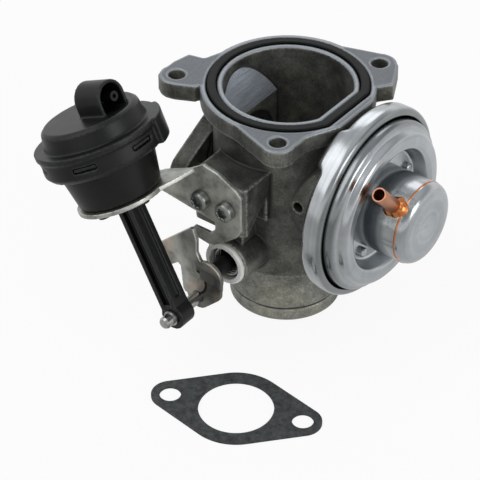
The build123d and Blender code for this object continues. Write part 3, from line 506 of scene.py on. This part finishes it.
def plated_sheet(name, colours, stained):
    """Zinc-plated sheet steel: cloudy plating, faint rolling lines, edges lightened as wear and
    as a painted highlight, and corners darkened as dirt and as painted shade. The lever's is
    stained brown, and its lobe has painted shade with a painted shadow line."""
    f = Finish(name)
    tree = f.tree
    grain = f.group("grain", Fine=1500.0, Broad=150.0)
    rust = f.group("grain", Fine=700.0, Broad=55.0)
    lines = f.group("scratches", Stretch=(160.0, 2400.0, 2400.0))
    wear_and_painted_light = f.group("wear_and_painted_light", Edge_gain=0.4, Corner_gain=1.0)
    colour = ramp(tree, grain["Mask"], (0.34, tone(colours.sheet, 0.55)),
                  (0.5, tuple(colours.sheet)), (0.68, tone(colours.sheet, 1.3)))
    tint = ramp(tree, rust["Mask"], (0.47, grey(1.0)), (0.62, (1.12, 0.84, 0.68)))
    colour = mixed(tree, 1.0 if stained else 0.1, colour, tint, "MULTIPLY")
    # edges lightened as wear and as a painted highlight, corners darkened as dirt and as painted
    # shade
    colour = mixed(tree, wear_and_painted_light["Edge"], colour, paint(colours.sheet, 1.6))
    colour = mixed(tree, wear_and_painted_light["Corner"], colour, paint(colours.sheet, 0.35))
    if stained:
        # painted shade: the lobe round the shaft is painted darker, as a face turned from the
        # light, and set off from the leg by a hooked painted shadow line; everything goes by the
        # distance from a point beside the pin
        hook = (-0.0068, 0, 0.0350)
        lobe_painted_shade = ramp(tree, span(tree, from_point(tree, f.place, hook, (1, 0, 1)), 0.0045, 0.0085),
                    (0.22, grey(1.0)), (0.28, (0.06, 0.06, 0.055)),
                    (0.52, (0.06, 0.06, 0.055)), (0.6, (0.34, 0.35, 0.35)),
                    (1.0, (0.36, 0.37, 0.37)))
        x, _, z = f.axes()
        share = combined(tree, "MULTIPLY", span(tree, z, 0.0455, 0.0415),
                         span(tree, x, -0.0062, -0.0050))
        colour = mixed(tree, share, colour, lobe_painted_shade, "MULTIPLY")
    f.link(colour, "Base Color")
    f.set(Metallic=0.9)
    f.link(f.spread(lines["Height"], 0.28, 0.55), "Roughness")
    f.bump(lines["Height"], 0.3, 0.00012)


def capsule_steel(colours):
    """Bright plated deep-drawn steel: fine turning rings in the bump, and in the colour broad grey
    rings that are turning marks and painted dark reflection streaks, clouds, painted shade in the
    groove between the rim and the cover, and a dark heat tint round the foot of the tube."""
    axis, tube_foot = (0.0, 0.0, 0.0665), (0.0625, -0.0119, 0.0797)
    f = Finish("capsule_steel")
    tree = f.tree
    lathe = f.group("lathe", Centre=axis, Pitch=2200.0)
    broad = f.group("lathe", Centre=axis, Pitch=300.0)
    grain = f.group("grain", Fine=500.0, Broad=60.0)
    clouds = ramp(tree, lathe["Mask"], (0.34, grey(0.9)), (0.66, grey(1.06)))
    # broad grey rings: turning marks and painted dark reflection streaks
    rings = ramp(tree, broad["Height"], (0.4, (0.66, 0.67, 0.68)), (0.55, grey(1.0)))
    dull = ramp(tree, grain["Mask"], (0.4, (0.78, 0.78, 0.77)), (0.56, grey(1.0)))
    # painted shade in the groove between the rim and the cover
    groove = ramp(tree, span(tree, from_point(tree, f.place, axis, (0, 1, 1)), 0.034, 0.044),
                  (0.12, grey(1.0)), (0.3, (0.58, 0.59, 0.58)), (0.7, (0.58, 0.59, 0.58)),
                  (0.76, grey(1.0)))
    # the tint goes by the distance from the tube's foot, roughened by the grain
    reach = combined(tree, "ADD", from_point(tree, f.place, tube_foot),
                     f.spread(grain["Height"], -0.005, 0.005))
    scorch = ramp(tree, span(tree, reach, 0.003, 0.009), (0.0, (0.25, 0.2, 0.16)),
                  (0.4, (0.42, 0.42, 0.39)), (1.0, grey(1.0)))
    colour = paint(colours.capsule, 1.0)
    for shade, share in ((clouds, 1.0), (rings, 0.3), (dull, 0.5), (groove, 1.0),
                         (scorch, 0.6)):
        colour = mixed(tree, share, colour, shade, "MULTIPLY")
    f.link(colour, "Base Color")
    f.set(Metallic=1.0)
    f.link(f.spread(lathe["Height"], 0.17, 0.26), "Roughness")
    f.bump(lathe["Height"], 0.09, 0.00004)


def moulded_plastic(colours):
    """Black glass-filled nylon: satin skin with a moulded grain, and edges lightened as slight
    rubbing and as a painted highlight.
    """
    f = Finish("black_plastic")
    grain = f.group("grain", Fine=1800.0, Broad=90.0)
    wear_and_painted_light = f.group("wear_and_painted_light", Edge_gain=1.6, Corner_gain=1.2)
    colour = ramp(f.tree, grain["Mask"], (0.3, tone(colours.plastic, 0.7)),
                  (0.7, tone(colours.plastic, 1.5)))
    # edges lightened as rubbing and as a painted highlight
    f.link(mixed(f.tree, wear_and_painted_light["Edge"], colour, paint(colours.plastic, 4.0)), "Base Color")
    f.set(Specular_IOR_Level=0.26)
    f.link(f.spread(grain["Mask"], 0.28, 0.44), "Roughness")
    f.bump(grain["Height"], 0.3, 0.0001)


def plain_finish(name, colour, metallic, low, high, fine, depth, sheen=0.5):
    """A finish with staining, a range of roughness and fine bumps of the given depth."""
    f = Finish(name)
    grain = f.group("grain", Fine=fine, Broad=110.0)
    shade = ramp(f.tree, grain["Mask"], (0.3, tuple(0.78 * c for c in colour)),
                 (0.7, tuple(1.15 * c for c in colour)))
    f.link(shade, "Base Color")
    f.set(Metallic=metallic, Specular_IOR_Level=sheen)
    f.link(f.spread(grain["Mask"], low, high), "Roughness")
    f.bump(grain["Height"], 0.3, depth)


def shaft_steel(colours):
    """Oiled dark steel, kept this dark also as painted shade in the nylon ring's opening; the end
    riveted into the lever is half as bright as the lever's sheet, blending with the lobe's painted
    shade.
    """
    f = Finish("shaft_steel")
    grain = f.group("grain", Fine=1500.0, Broad=110.0)
    shade = ramp(f.tree, grain["Mask"], (0.3, (0.02, 0.021, 0.02)),
                 (0.7, (0.035, 0.036, 0.034)))
    # the riveted end: the sheet's colour at half, blending with the lever lobe's painted shade
    end = span(f.tree, f.axes()[1], -0.0530, -0.0535)
    f.link(mixed(f.tree, end, shade, paint(colours.sheet, 0.5)), "Base Color")
    f.set(Metallic=0.9)
    f.link(f.spread(grain["Mask"], 0.32, 0.5), "Roughness")
    f.bump(grain["Height"], 0.3, 0.00006)


def gasket_fibre(colours):
    """Graphite-coated fibre board: fine dark and light flecks."""
    f = Finish("gasket_fibre")
    grain = f.group("grain", Fine=2600.0, Broad=420.0)
    colour = ramp(f.tree, grain["Mask"], (0.36, tone(colours.gasket, 0.5)),
                  (0.5, tuple(colours.gasket)), (0.64, tone(colours.gasket, 1.5)))
    f.link(colour, "Base Color")
    f.link(f.spread(grain["Height"], 0.6, 0.85), "Roughness")
    f.bump(grain["Height"], 0.4, 0.00012)


# ---- settings ---------------------------------------------------------------------------
class ValveColours(bpy.types.PropertyGroup):
    """Base colours of the finishes."""

    casting: FloatVectorProperty(name="Casting", description="Cast aluminium", size=3,
                                 default=(0.130, 0.131, 0.120), subtype="COLOR")
    machined: FloatVectorProperty(name="Machined", description="Machined faces", size=3,
                                  default=(0.142, 0.152, 0.162), subtype="COLOR")
    sheet: FloatVectorProperty(name="Sheet", description="Zinc-plated sheet", size=3,
                               default=(0.42, 0.43, 0.40), subtype="COLOR")
    capsule: FloatVectorProperty(name="Capsule", description="Capsule steel", size=3,
                                 default=(0.47, 0.49, 0.505), subtype="COLOR")
    plastic: FloatVectorProperty(name="Plastic", description="Actuator plastic", size=3,
                                 default=(0.0055, 0.0068, 0.0058), subtype="COLOR")
    gasket: FloatVectorProperty(name="Gasket", description="Gasket board", size=3,
                                default=(0.050, 0.055, 0.056), subtype="COLOR")


class CapsuleSizes(bpy.types.PropertyGroup):
    """Sizes of the vacuum capsule."""

    rim_radius: FloatProperty(name="Rim radius", description="Outer radius of the rolled rim",
                              default=(BASE_HIGH[1] - BASE_LOW[1]) / 2, unit="LENGTH")
    cup_radius: FloatProperty(name="Cup radius", description="Outer radius of the spring cup",
                              default=(CAP_HIGH[1] - CAP_LOW[1]) / 2, unit="LENGTH")
    cup_end: FloatProperty(name="Cup end", description="Where the spring cup ends",
                           default=CAP_HIGH[0], unit="LENGTH")
    axis_height: FloatProperty(name="Axis height", description="Height of the capsule's axis",
                               default=(CAP_HIGH[2] + CAP_LOW[2]) / 2, unit="LENGTH")
    steel: FloatProperty(name="Steel", description="Thickness of the drawn steel",
                         default=1.2 * MM, unit="LENGTH")
    notch: FloatProperty(name="Rim notch", description="How far the rim's deep part reaches back",
                         default=2.8 * MM, unit="LENGTH")


class StageSettings(bpy.types.PropertyGroup):
    """Camera and light."""

    azimuth: FloatProperty(name="Azimuth", description="Side the camera faces from",
                           default=radians(37.5), subtype="ANGLE")
    elevation: FloatProperty(name="Elevation", description="Tilt of the camera's view",
                             default=radians(38.3), subtype="ANGLE")
    lens: FloatProperty(name="Lens", description="Focal length in millimetres",
                        default=183.75, unit="NONE")
    place: FloatVectorProperty(name="Place", description="Where the camera stands", size=3,
                               default=(0.488788, -0.669558, 0.679679), subtype="TRANSLATION")


class ValveSettings(bpy.types.PropertyGroup):
    """All settings of the valve."""

    colours: PointerProperty(type=ValveColours)
    capsule: PointerProperty(type=CapsuleSizes)
    stage: PointerProperty(type=StageSettings)


# ---- operators --------------------------------------------------------------------------
class VALVE_OT_finishes(bpy.types.Operator):
    """Makes the shader groups and the materials"""

    bl_idname = "valve.finishes"
    bl_label = "Finishes"

    def execute(self, context):
        colours = context.scene.gas_valve.colours
        make_grain()
        make_wear_and_painted_light()
        make_scratches()
        make_lathe()
        cast_metal(colours)
        plated_sheet("zinc_sheet", colours, False)
        plated_sheet("stained_sheet", colours, True)
        shaft_steel(colours)
        capsule_steel(colours)
        moulded_plastic(colours)
        gasket_fibre(colours)
        plain_finish("turned_steel", (0.42, 0.42, 0.41), 1.0, 0.16, 0.3, 1600.0, 0.00006)
        plain_finish("screw_steel", (0.27, 0.285, 0.27), 1.0, 0.22, 0.4, 1500.0, 0.00006)
        plain_finish("bronze", (0.42, 0.27, 0.12), 1.0, 0.35, 0.5, 1200.0, 0.00006)
        plain_finish("white_nylon", (0.93, 0.93, 0.9), 0.0, 0.35, 0.5, 1400.0, 0.00005)
        plain_finish("black_rubber", (0.005, 0.0056, 0.0055), 0.0, 0.35, 0.55, 1400.0, 0.00006,
                     0.14)
        plain_finish("copper", (0.52, 0.25, 0.15), 1.0, 0.22, 0.42, 1400.0, 0.00006)
        plain_finish("braze", (0.62, 0.22, 0.075), 1.0, 0.12, 0.34, 500.0, 0.0003)
        return {"FINISHED"}


class VALVE_OT_capsule(bpy.types.Operator):
    """Builds the drawn steel capsule with its rolled rim, stepped cover and spring cup"""

    bl_idname = "valve.capsule"
    bl_label = "Capsule"

    def execute(self, context):
        sizes = context.scene.gas_valve.capsule
        steel = bpy.data.materials["capsule_steel"]
        centre, along, across = (0, 0, sizes.axis_height), (1, 0, 0), (0, 1, 0)
        rim, cup = sizes.rim_radius / MM, sizes.cup_radius / MM
        back = BASE_LOW[0] / MM + sizes.notch / MM
        front = BASE_HIGH[0] / MM
        wall = sizes.steel / MM

        # rolled rim: the closed outline is turned, then its back edge is drawn out over an arc
        outline = rounded(
            [(5, back + 1), (30, back + 1), (33, back), (rim, back), (rim, front),
             (rim - 3.4, front), (rim - 3.4, front - wall), (rim - wall, front - wall),
             (rim - wall, back + 5), (rim - 6, back + 5), (34, back + 1 + wall),
             (5, back + 1 + wall)],
            [0.1, 1.5, 1.2, 2.3, 2.7, 0.5, 0.3, 0.8, 0.2, 0.4, 0.6, 0.1], 7)
        points, faces = turned(outline * MM, centre, along, across, 288)
        angle = np.degrees(np.arctan2(points[:, 2] - sizes.axis_height, points[:, 1]))
        reach = np.hypot(points[:, 2] - sizes.axis_height, points[:, 1])
        deep = smooth_step(angle, 104, 109) * (1 - smooth_step(angle, 130, 136))
        outer = smooth_step(reach, (rim - 4.5) * MM, (rim - 2.4) * MM)
        rear = 1 - smooth_step(points[:, 0], (back + 1) * MM, (back + 3) * MM)
        points[:, 0] -= sizes.notch * deep * outer * rear
        rim_piece = surface("capsule_rim", points, faces, "body", steel)
        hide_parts("capsule_base")

        # stepped cover: bent sheet about the capsule's axis
        step, dish = 37.0, 25.0
        path = [(rim - wall - 0.2, back + 6.6), (step, back + 6.6), (step - 0.2, front + 3.0),
                (step - 3.4, front + 4.2), (step - 4.2, 53.4), (dish + 2.4, 53.6),
                (dish, 46.0), (cup + 0.05, 46.0)]
        points, faces = turned(pressed(path, 1.9, wall) * MM, centre, along, across, 288)
        cover = surface("capsule_face", points, faces, "body", steel)
        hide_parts("capsule_cover")

        # spring cup, drawn in one piece with a flat end and a well rounded edge
        end = sizes.cup_end / MM
        outline = rounded(
            [(cup, 45.4), (cup, end), (0.02, end), (0.02, end - wall), (cup - wall, end - wall),
             (cup - wall, 45.4)],
            [0.2, 4.6, 0.005, 0.005, 3.3, 0.2], 12)
        points, faces = turned(outline * MM, centre, along, across, 192)
        shell = surface("capsule_cup_shell", points, faces, "body", steel)
        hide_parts("capsule_cup", "capsule_cap")
        return {"FINISHED"}


class VALVE_OT_brazing(bpy.types.Operator):
    """Builds the copper tube, its lumpy braze and the braze line round the cup"""

    bl_idname = "valve.brazing"
    bl_label = "Brazing"

    def execute(self, context):
        sizes = context.scene.gas_valve.capsule
        braze, copper = bpy.data.materials["braze"], bpy.data.materials["copper"]
        low, high = (Vector(corner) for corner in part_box("capsule_nipple"))
        middle = (low + high) / 2
        out = Vector((0, cos(radians(132)), sin(radians(132))))
        root = Vector((middle.x, 0, sizes.axis_height))
        cup = sizes.cup_radius

        # tube: the closed outline of its wall turned about its own axis
        bore, outside, foot, mouth = 2.3, 3.1, 16.0, 35.5
        outline = rounded([(bore, foot), (outside, foot), (outside, mouth), (bore, mouth)],
                          [0.05, 0.05, 0.3, 0.3], 5)
        points, faces = turned(outline * MM, root, out, (1, 0, 0), 64)
        tube = surface("vacuum_tube", points, faces, "body", copper)
        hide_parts("capsule_nipple")

        # braze: rings round the tube that widen down to the cup. Each ring's radius swells by
        # sines of the angle, and its height is that of the cup's round side there.
        spokes, inner = 96, 2.9
        turn = np.linspace(0, 2 * pi, spokes, endpoint=False)[None, :]
        fall = np.linspace(0, 1, 14)[:, None]
        lumps = (0.6 * np.sin(2 * turn + 0.7) + 0.45 * np.sin(3 * turn + 2.1)
                 + 0.22 * np.sin(5 * turn + 1.0) + 0.2 * np.sin(8 * turn + 4.0))
        width = 3.12 + (1.75 + 0.75 * lumps + 0.6 * np.cos(turn)) * fall ** 0.85
        hidden = np.full((1, spokes), inner)
        radius = np.concatenate([hidden, width, hidden])
        lift = np.concatenate([np.zeros((1, spokes)), (2.1 + 0.5 * lumps) * (1 - fall) ** 1.5
                               + 0.6 * np.sin(pi * fall) * (1 + 0.8 * lumps),
                               np.full((1, spokes), -1.2)])
        lift[0] = lift[1] - 0.2
        along = radius * np.cos(turn) * MM
        side = radius * np.sin(turn) * MM
        height = np.sqrt(cup ** 2 - side ** 2) + lift * MM
        third = out.cross(Vector((1, 0, 0)))
        points = (np.array(root) + along[..., None] * np.array((1.0, 0, 0))
                  + side[..., None] * np.array(third) + height[..., None] * np.array(out))
        faces = grid_faces(len(radius), spokes, True, True)
        bead = surface("tube_braze", points.reshape(-1, 3), faces, "body", braze)
        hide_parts("nipple_braze")

        # line round the cup: a flat bead whose width and height wander with the angle
        turn = np.linspace(0, 2 * pi, 240, endpoint=False)[:, None]
        wander = 0.16 * np.sin(5 * turn + 1) + 0.12 * np.sin(11 * turn) + 0.1 * np.sin(23 * turn)
        across = np.linspace(0, 2 * pi, 16, endpoint=False)[None, :]
        half = (RING_HIGH[0] - RING_LOW[0]) / 2 / MM
        x = ((RING_HIGH[0] + RING_LOW[0]) / 2 / MM + 0.3 * wander
             + (half + 0.12 + 0.35 * wander) * np.cos(across))
        r = cup / MM - 0.04 + (0.26 + 0.22 * wander) * np.sin(across)
        points = np.stack(np.broadcast_arrays(
            x * MM, r * np.cos(turn) * MM, sizes.axis_height + r * np.sin(turn) * MM), axis=-1)
        line = surface("cup_braze_line", points.reshape(-1, 3), grid_faces(240, 16, True, True),
                       "body", braze)
        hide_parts("cup_braze")
        return {"FINISHED"}


class VALVE_OT_moulded(bpy.types.Operator):
    """Softens the edges of the plastic, sheet and rubber pieces"""

    bl_idname = "valve.moulded"
    bl_label = "Moulded and pressed pieces"

    def execute(self, context):
        for node, name, body, finish, voxel, rounds, keep in (
            ("actuator_cover", "actuator_lid", "body", "black_plastic", 0.42, 3, 0.45),
            ("actuator_cup", "actuator_pot", "body", "black_plastic", 0.45, 3, 0.4),
            ("actuator_rod", "moulded_rod", "rod", "black_plastic", 0.3, 3, 0.6),
            ("actuator_bracket", "pressed_bracket", "body", "zinc_sheet", 0.32, 3, 0.5),
            ("flap_lever", "pressed_lever", "flap", "stained_sheet", 0.3, 3, 0.7),
            ("manifold_seal", "moulded_seal", "body", "black_rubber", 0.45, 4, 0.6),
            ("spring_ring", "nylon_ring", "body", "white_nylon", 0.3, 3, 0.6),
        ):
            softened(node, name, body, bpy.data.materials[finish],
                     voxel * MM, rounds, keep)
        return {"FINISHED"}


class VALVE_OT_screws(bpy.types.Operator):
    """Builds the bracket screws with rounded heads and six-lobed sockets"""

    bl_idname = "valve.screws"
    bl_label = "Screws"

    def execute(self, context):
        low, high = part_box("bracket_screws")
        height = (low[2] + high[2]) / 2
        seat, head, spokes = -48.2 * MM, 4.3, 96
        turn = np.linspace(0, 2 * pi, spokes, endpoint=False)[None, :]
        # rows run up the shank, out under the head, up its side, over its edge, down the socket
        # and in to the middle: the socket's radius is 1 + lobe * cos(6 angle) times its mean
        radius = np.array([2.5, 2.5, head - 0.3, head, head, head - 0.15, head - 0.6, head - 1.3,
                           2.45, 2.3, 2.2, 2.1, 0.02])[:, None]
        rise = np.array([-11.8, 0.02, 0.02, 0.3, 2.6, 3.15, 3.5, 3.6, 3.6, 3.45, 2.6, 1.6,
                         1.5])[:, None]
        lobe = np.array([0, 0, 0, 0, 0, 0, 0, 0, 0.12, 0.14, 0.14, 0.14, 0])[:, None]
        reach = radius * (1 + lobe * np.cos(6 * turn)) * MM
        points = []
        faces = []
        for number, x in enumerate((low[0] + head * MM, high[0] - head * MM)):
            points.append(np.stack(np.broadcast_arrays(
                x + reach * np.cos(turn), seat - rise * MM, height + reach * np.sin(turn)),
                axis=-1).reshape(-1, 3))
            faces.append(grid_faces(len(radius), spokes, False, True)
                         + number * len(radius) * spokes)
        screws = surface("bracket_screw_pair", np.vstack(points), np.vstack(faces), "body",
                         bpy.data.materials["screw_steel"])
        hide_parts("bracket_screws")
        return {"FINISHED"}


class VALVE_OT_casting(bpy.types.Operator):
    """Builds the cast housing with rounded cast edges"""

    bl_idname = "valve.casting"
    bl_label = "Casting"

    def execute(self, context):
        softened("valve_housing", "housing_casting", "body",
                 bpy.data.materials["cast_aluminium"], 0.52 * MM, 3, 0.36)
        return {"FINISHED"}


class VALVE_OT_small_parts(bpy.types.Operator):
    """Gives every frame node the finish of its record slot"""

    bl_idname = "valve.small_parts"
    bl_label = "Small parts"

    def execute(self, context):
        for node, slot in SLOTS.items():
            dress(node, bpy.data.materials[slot])
        dress("flap_shaft", bpy.data.materials["shaft_steel"])
        return {"FINISHED"}


class VALVE_OT_springs(bpy.types.Operator):
    """Copies each coil spring's mesh into an object of its own and hides the frame node"""

    bl_idname = "valve.springs"
    bl_label = "Springs"

    def execute(self, context):
        for node, pushed in (("actuator_spring", "piston"), ("capsule_spring", "valve")):
            source = frame["nodes"][node]
            mesh = source.data.copy()
            mesh.transform(source.matrix_world)
            coil = bpy.data.objects.new(node + "_coil", mesh)
            context.scene.collection.objects.link(coil)
            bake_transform(coil)
            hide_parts(node)
        return {"FINISHED"}


class VALVE_OT_stage(bpy.types.Operator):
    """Sets the floor, the lights and the camera"""

    bl_idname = "valve.stage"
    bl_label = "Stage"

    def execute(self, context):
        scene = context.scene
        settings = scene.gas_valve.stage
        scene.view_settings.view_transform = "Standard"

        # floor: a white glow to the camera, a grey glow that pales with y to mirrors, and a plain
        # pale surface to all other rays
        floor = bpy.data.meshes.new("floor")
        floor.from_pydata([(-4, -4, 0), (4, -4, 0), (4, 4, 0), (-4, 4, 0)], [], [(0, 1, 2, 3)])
        ground = bpy.data.objects.new("floor", floor)
        scene.collection.objects.link(ground)
        pale = Finish("pale_floor")
        tree = pale.tree
        pale.set(Base_Color=(0.9, 0.9, 0.9, 1), Roughness=0.9)
        ray = add(tree, "ShaderNodeLightPath").outputs
        away = ramp(tree, span(tree, pale.axes()[1], -0.3, 0.1), (0.0, (0.46, 0.46, 0.45)),
                    (0.45, (0.56, 0.56, 0.55)), (1.0, (0.88, 0.89, 0.9)))
        shown = mixed(tree, ray["Is Camera Ray"], away, (1, 1, 1, 1))
        glow = add(tree, "ShaderNodeEmission", {"Color": shown, "Strength": 1.0})
        mirrored = combined(tree, "MAXIMUM", ray["Is Glossy Ray"], ray["Is Transmission Ray"])
        share = combined(tree, "MAXIMUM", combined(tree, "MULTIPLY", mirrored, 0.8),
                         combined(tree, "MULTIPLY", ray["Is Camera Ray"], 0.9))
        both = add(tree, "ShaderNodeMixShader", {0: share, 1: pale.shader.outputs[0],
                                                2: glow.outputs[0]})
        out = [n for n in tree.nodes if n.type == "OUTPUT_MATERIAL"][0]
        tree.links.new(both.outputs[0], out.inputs[0])
        floor.materials.append(pale.material)

        # world: a dim sky that lights, and brighter walls that the camera and mirrors see
        world = bpy.data.worlds.new("studio")
        scene.world = world
        world.use_nodes = True
        tree = world.node_tree
        tree.nodes.clear()
        ray = add(tree, "ShaderNodeLightPath").outputs
        toward = add(tree, "ShaderNodeTexCoord").outputs["Generated"]
        height = add(tree, "ShaderNodeSeparateXYZ", {0: toward}).outputs[2]
        sky = ramp(tree, height, (0.0, grey(0.25)), (0.35, grey(0.4)), (0.8, grey(0.5)))
        wall = ramp(tree, height, (0.3, grey(1.0)), (0.42, (0.6, 0.61, 0.63)),
                    (0.62, (0.5, 0.51, 0.53)), (0.9, (0.75, 0.77, 0.79)))
        dim = add(tree, "ShaderNodeBackground", {"Color": sky, "Strength": 1.0})
        white = add(tree, "ShaderNodeBackground", {"Color": wall, "Strength": 1.0})
        seen = combined(tree, "MAXIMUM", ray["Is Camera Ray"], ray["Is Glossy Ray"])
        seen = combined(tree, "MAXIMUM", seen, ray["Is Transmission Ray"])
        choose = add(tree, "ShaderNodeMixShader", {0: seen, 1: dim.outputs[0],
                                                  2: white.outputs[0]})
        end = add(tree, "ShaderNodeOutputWorld")
        tree.links.new(choose.outputs[0], end.inputs[0])

        target = Vector((0.0, 0.0, 0.06))
        for name, spot, size, power in (
            ("key", (-0.45, -0.6, 0.95), 1.0, 4.4),
            ("back", (-0.59, 0.81, 0.9), 0.65, 2.1),
            ("right", (1.0, -0.05, 0.55), 0.5, 3.0),
        ):
            lamp = bpy.data.lights.new(name, "AREA")
            lamp.energy = power
            lamp.size = size
            holder = bpy.data.objects.new(name, lamp)
            holder.location = spot
            holder.rotation_euler = (target - Vector(spot)).to_track_quat("-Z", "Y").to_euler()
            scene.collection.objects.link(holder)

        eye = bpy.data.cameras.new("camera")
        eye.lens = settings.lens
        eye.sensor_width = 36.0
        eye.clip_start, eye.clip_end = 0.05, 20.0
        camera = bpy.data.objects.new("camera", eye)
        back = Vector((sin(settings.azimuth) * cos(settings.elevation),
                       -cos(settings.azimuth) * cos(settings.elevation),
                       sin(settings.elevation)))
        camera.location = settings.place
        camera.rotation_euler = (-back).to_track_quat("-Z", "Y").to_euler()
        scene.collection.objects.link(camera)
        scene.camera = camera
        return {"FINISHED"}


class VALVE_PT_panel(bpy.types.Panel):
    """Lists the steps and the settings"""

    bl_label = "Gas valve"
    bl_idname = "VALVE_PT_panel"
    bl_space_type = "VIEW_3D"
    bl_region_type = "UI"
    bl_category = "Gas Valve"

    def draw(self, context):
        for step in STEPS:
            self.layout.operator(step.bl_idname)
        settings = context.scene.gas_valve
        for group in (settings.colours, settings.capsule, settings.stage):
            for name in group.__annotations__:
                self.layout.prop(group, name)


STEPS = (VALVE_OT_finishes, VALVE_OT_small_parts, VALVE_OT_casting, VALVE_OT_capsule,
         VALVE_OT_brazing, VALVE_OT_moulded, VALVE_OT_screws, VALVE_OT_springs,
         VALVE_OT_stage)
GROUPS = (ValveColours, CapsuleSizes, StageSettings, ValveSettings)


def register():
    for kind in (*GROUPS, *STEPS, VALVE_PT_panel):
        bpy.utils.register_class(kind)
    bpy.types.Scene.gas_valve = PointerProperty(type=ValveSettings)


def unregister():
    del bpy.types.Scene.gas_valve
    for kind in reversed((*GROUPS, *STEPS, VALVE_PT_panel)):
        bpy.utils.unregister_class(kind)


def main():
    register()
    bpy.ops.valve.finishes()
    bpy.ops.valve.small_parts()
    bpy.ops.valve.casting()
    bpy.ops.valve.capsule()
    bpy.ops.valve.brazing()
    bpy.ops.valve.moulded()
    bpy.ops.valve.screws()
    bpy.ops.valve.springs()
    bpy.ops.valve.stage()


if __name__ == "__main__":
    main()
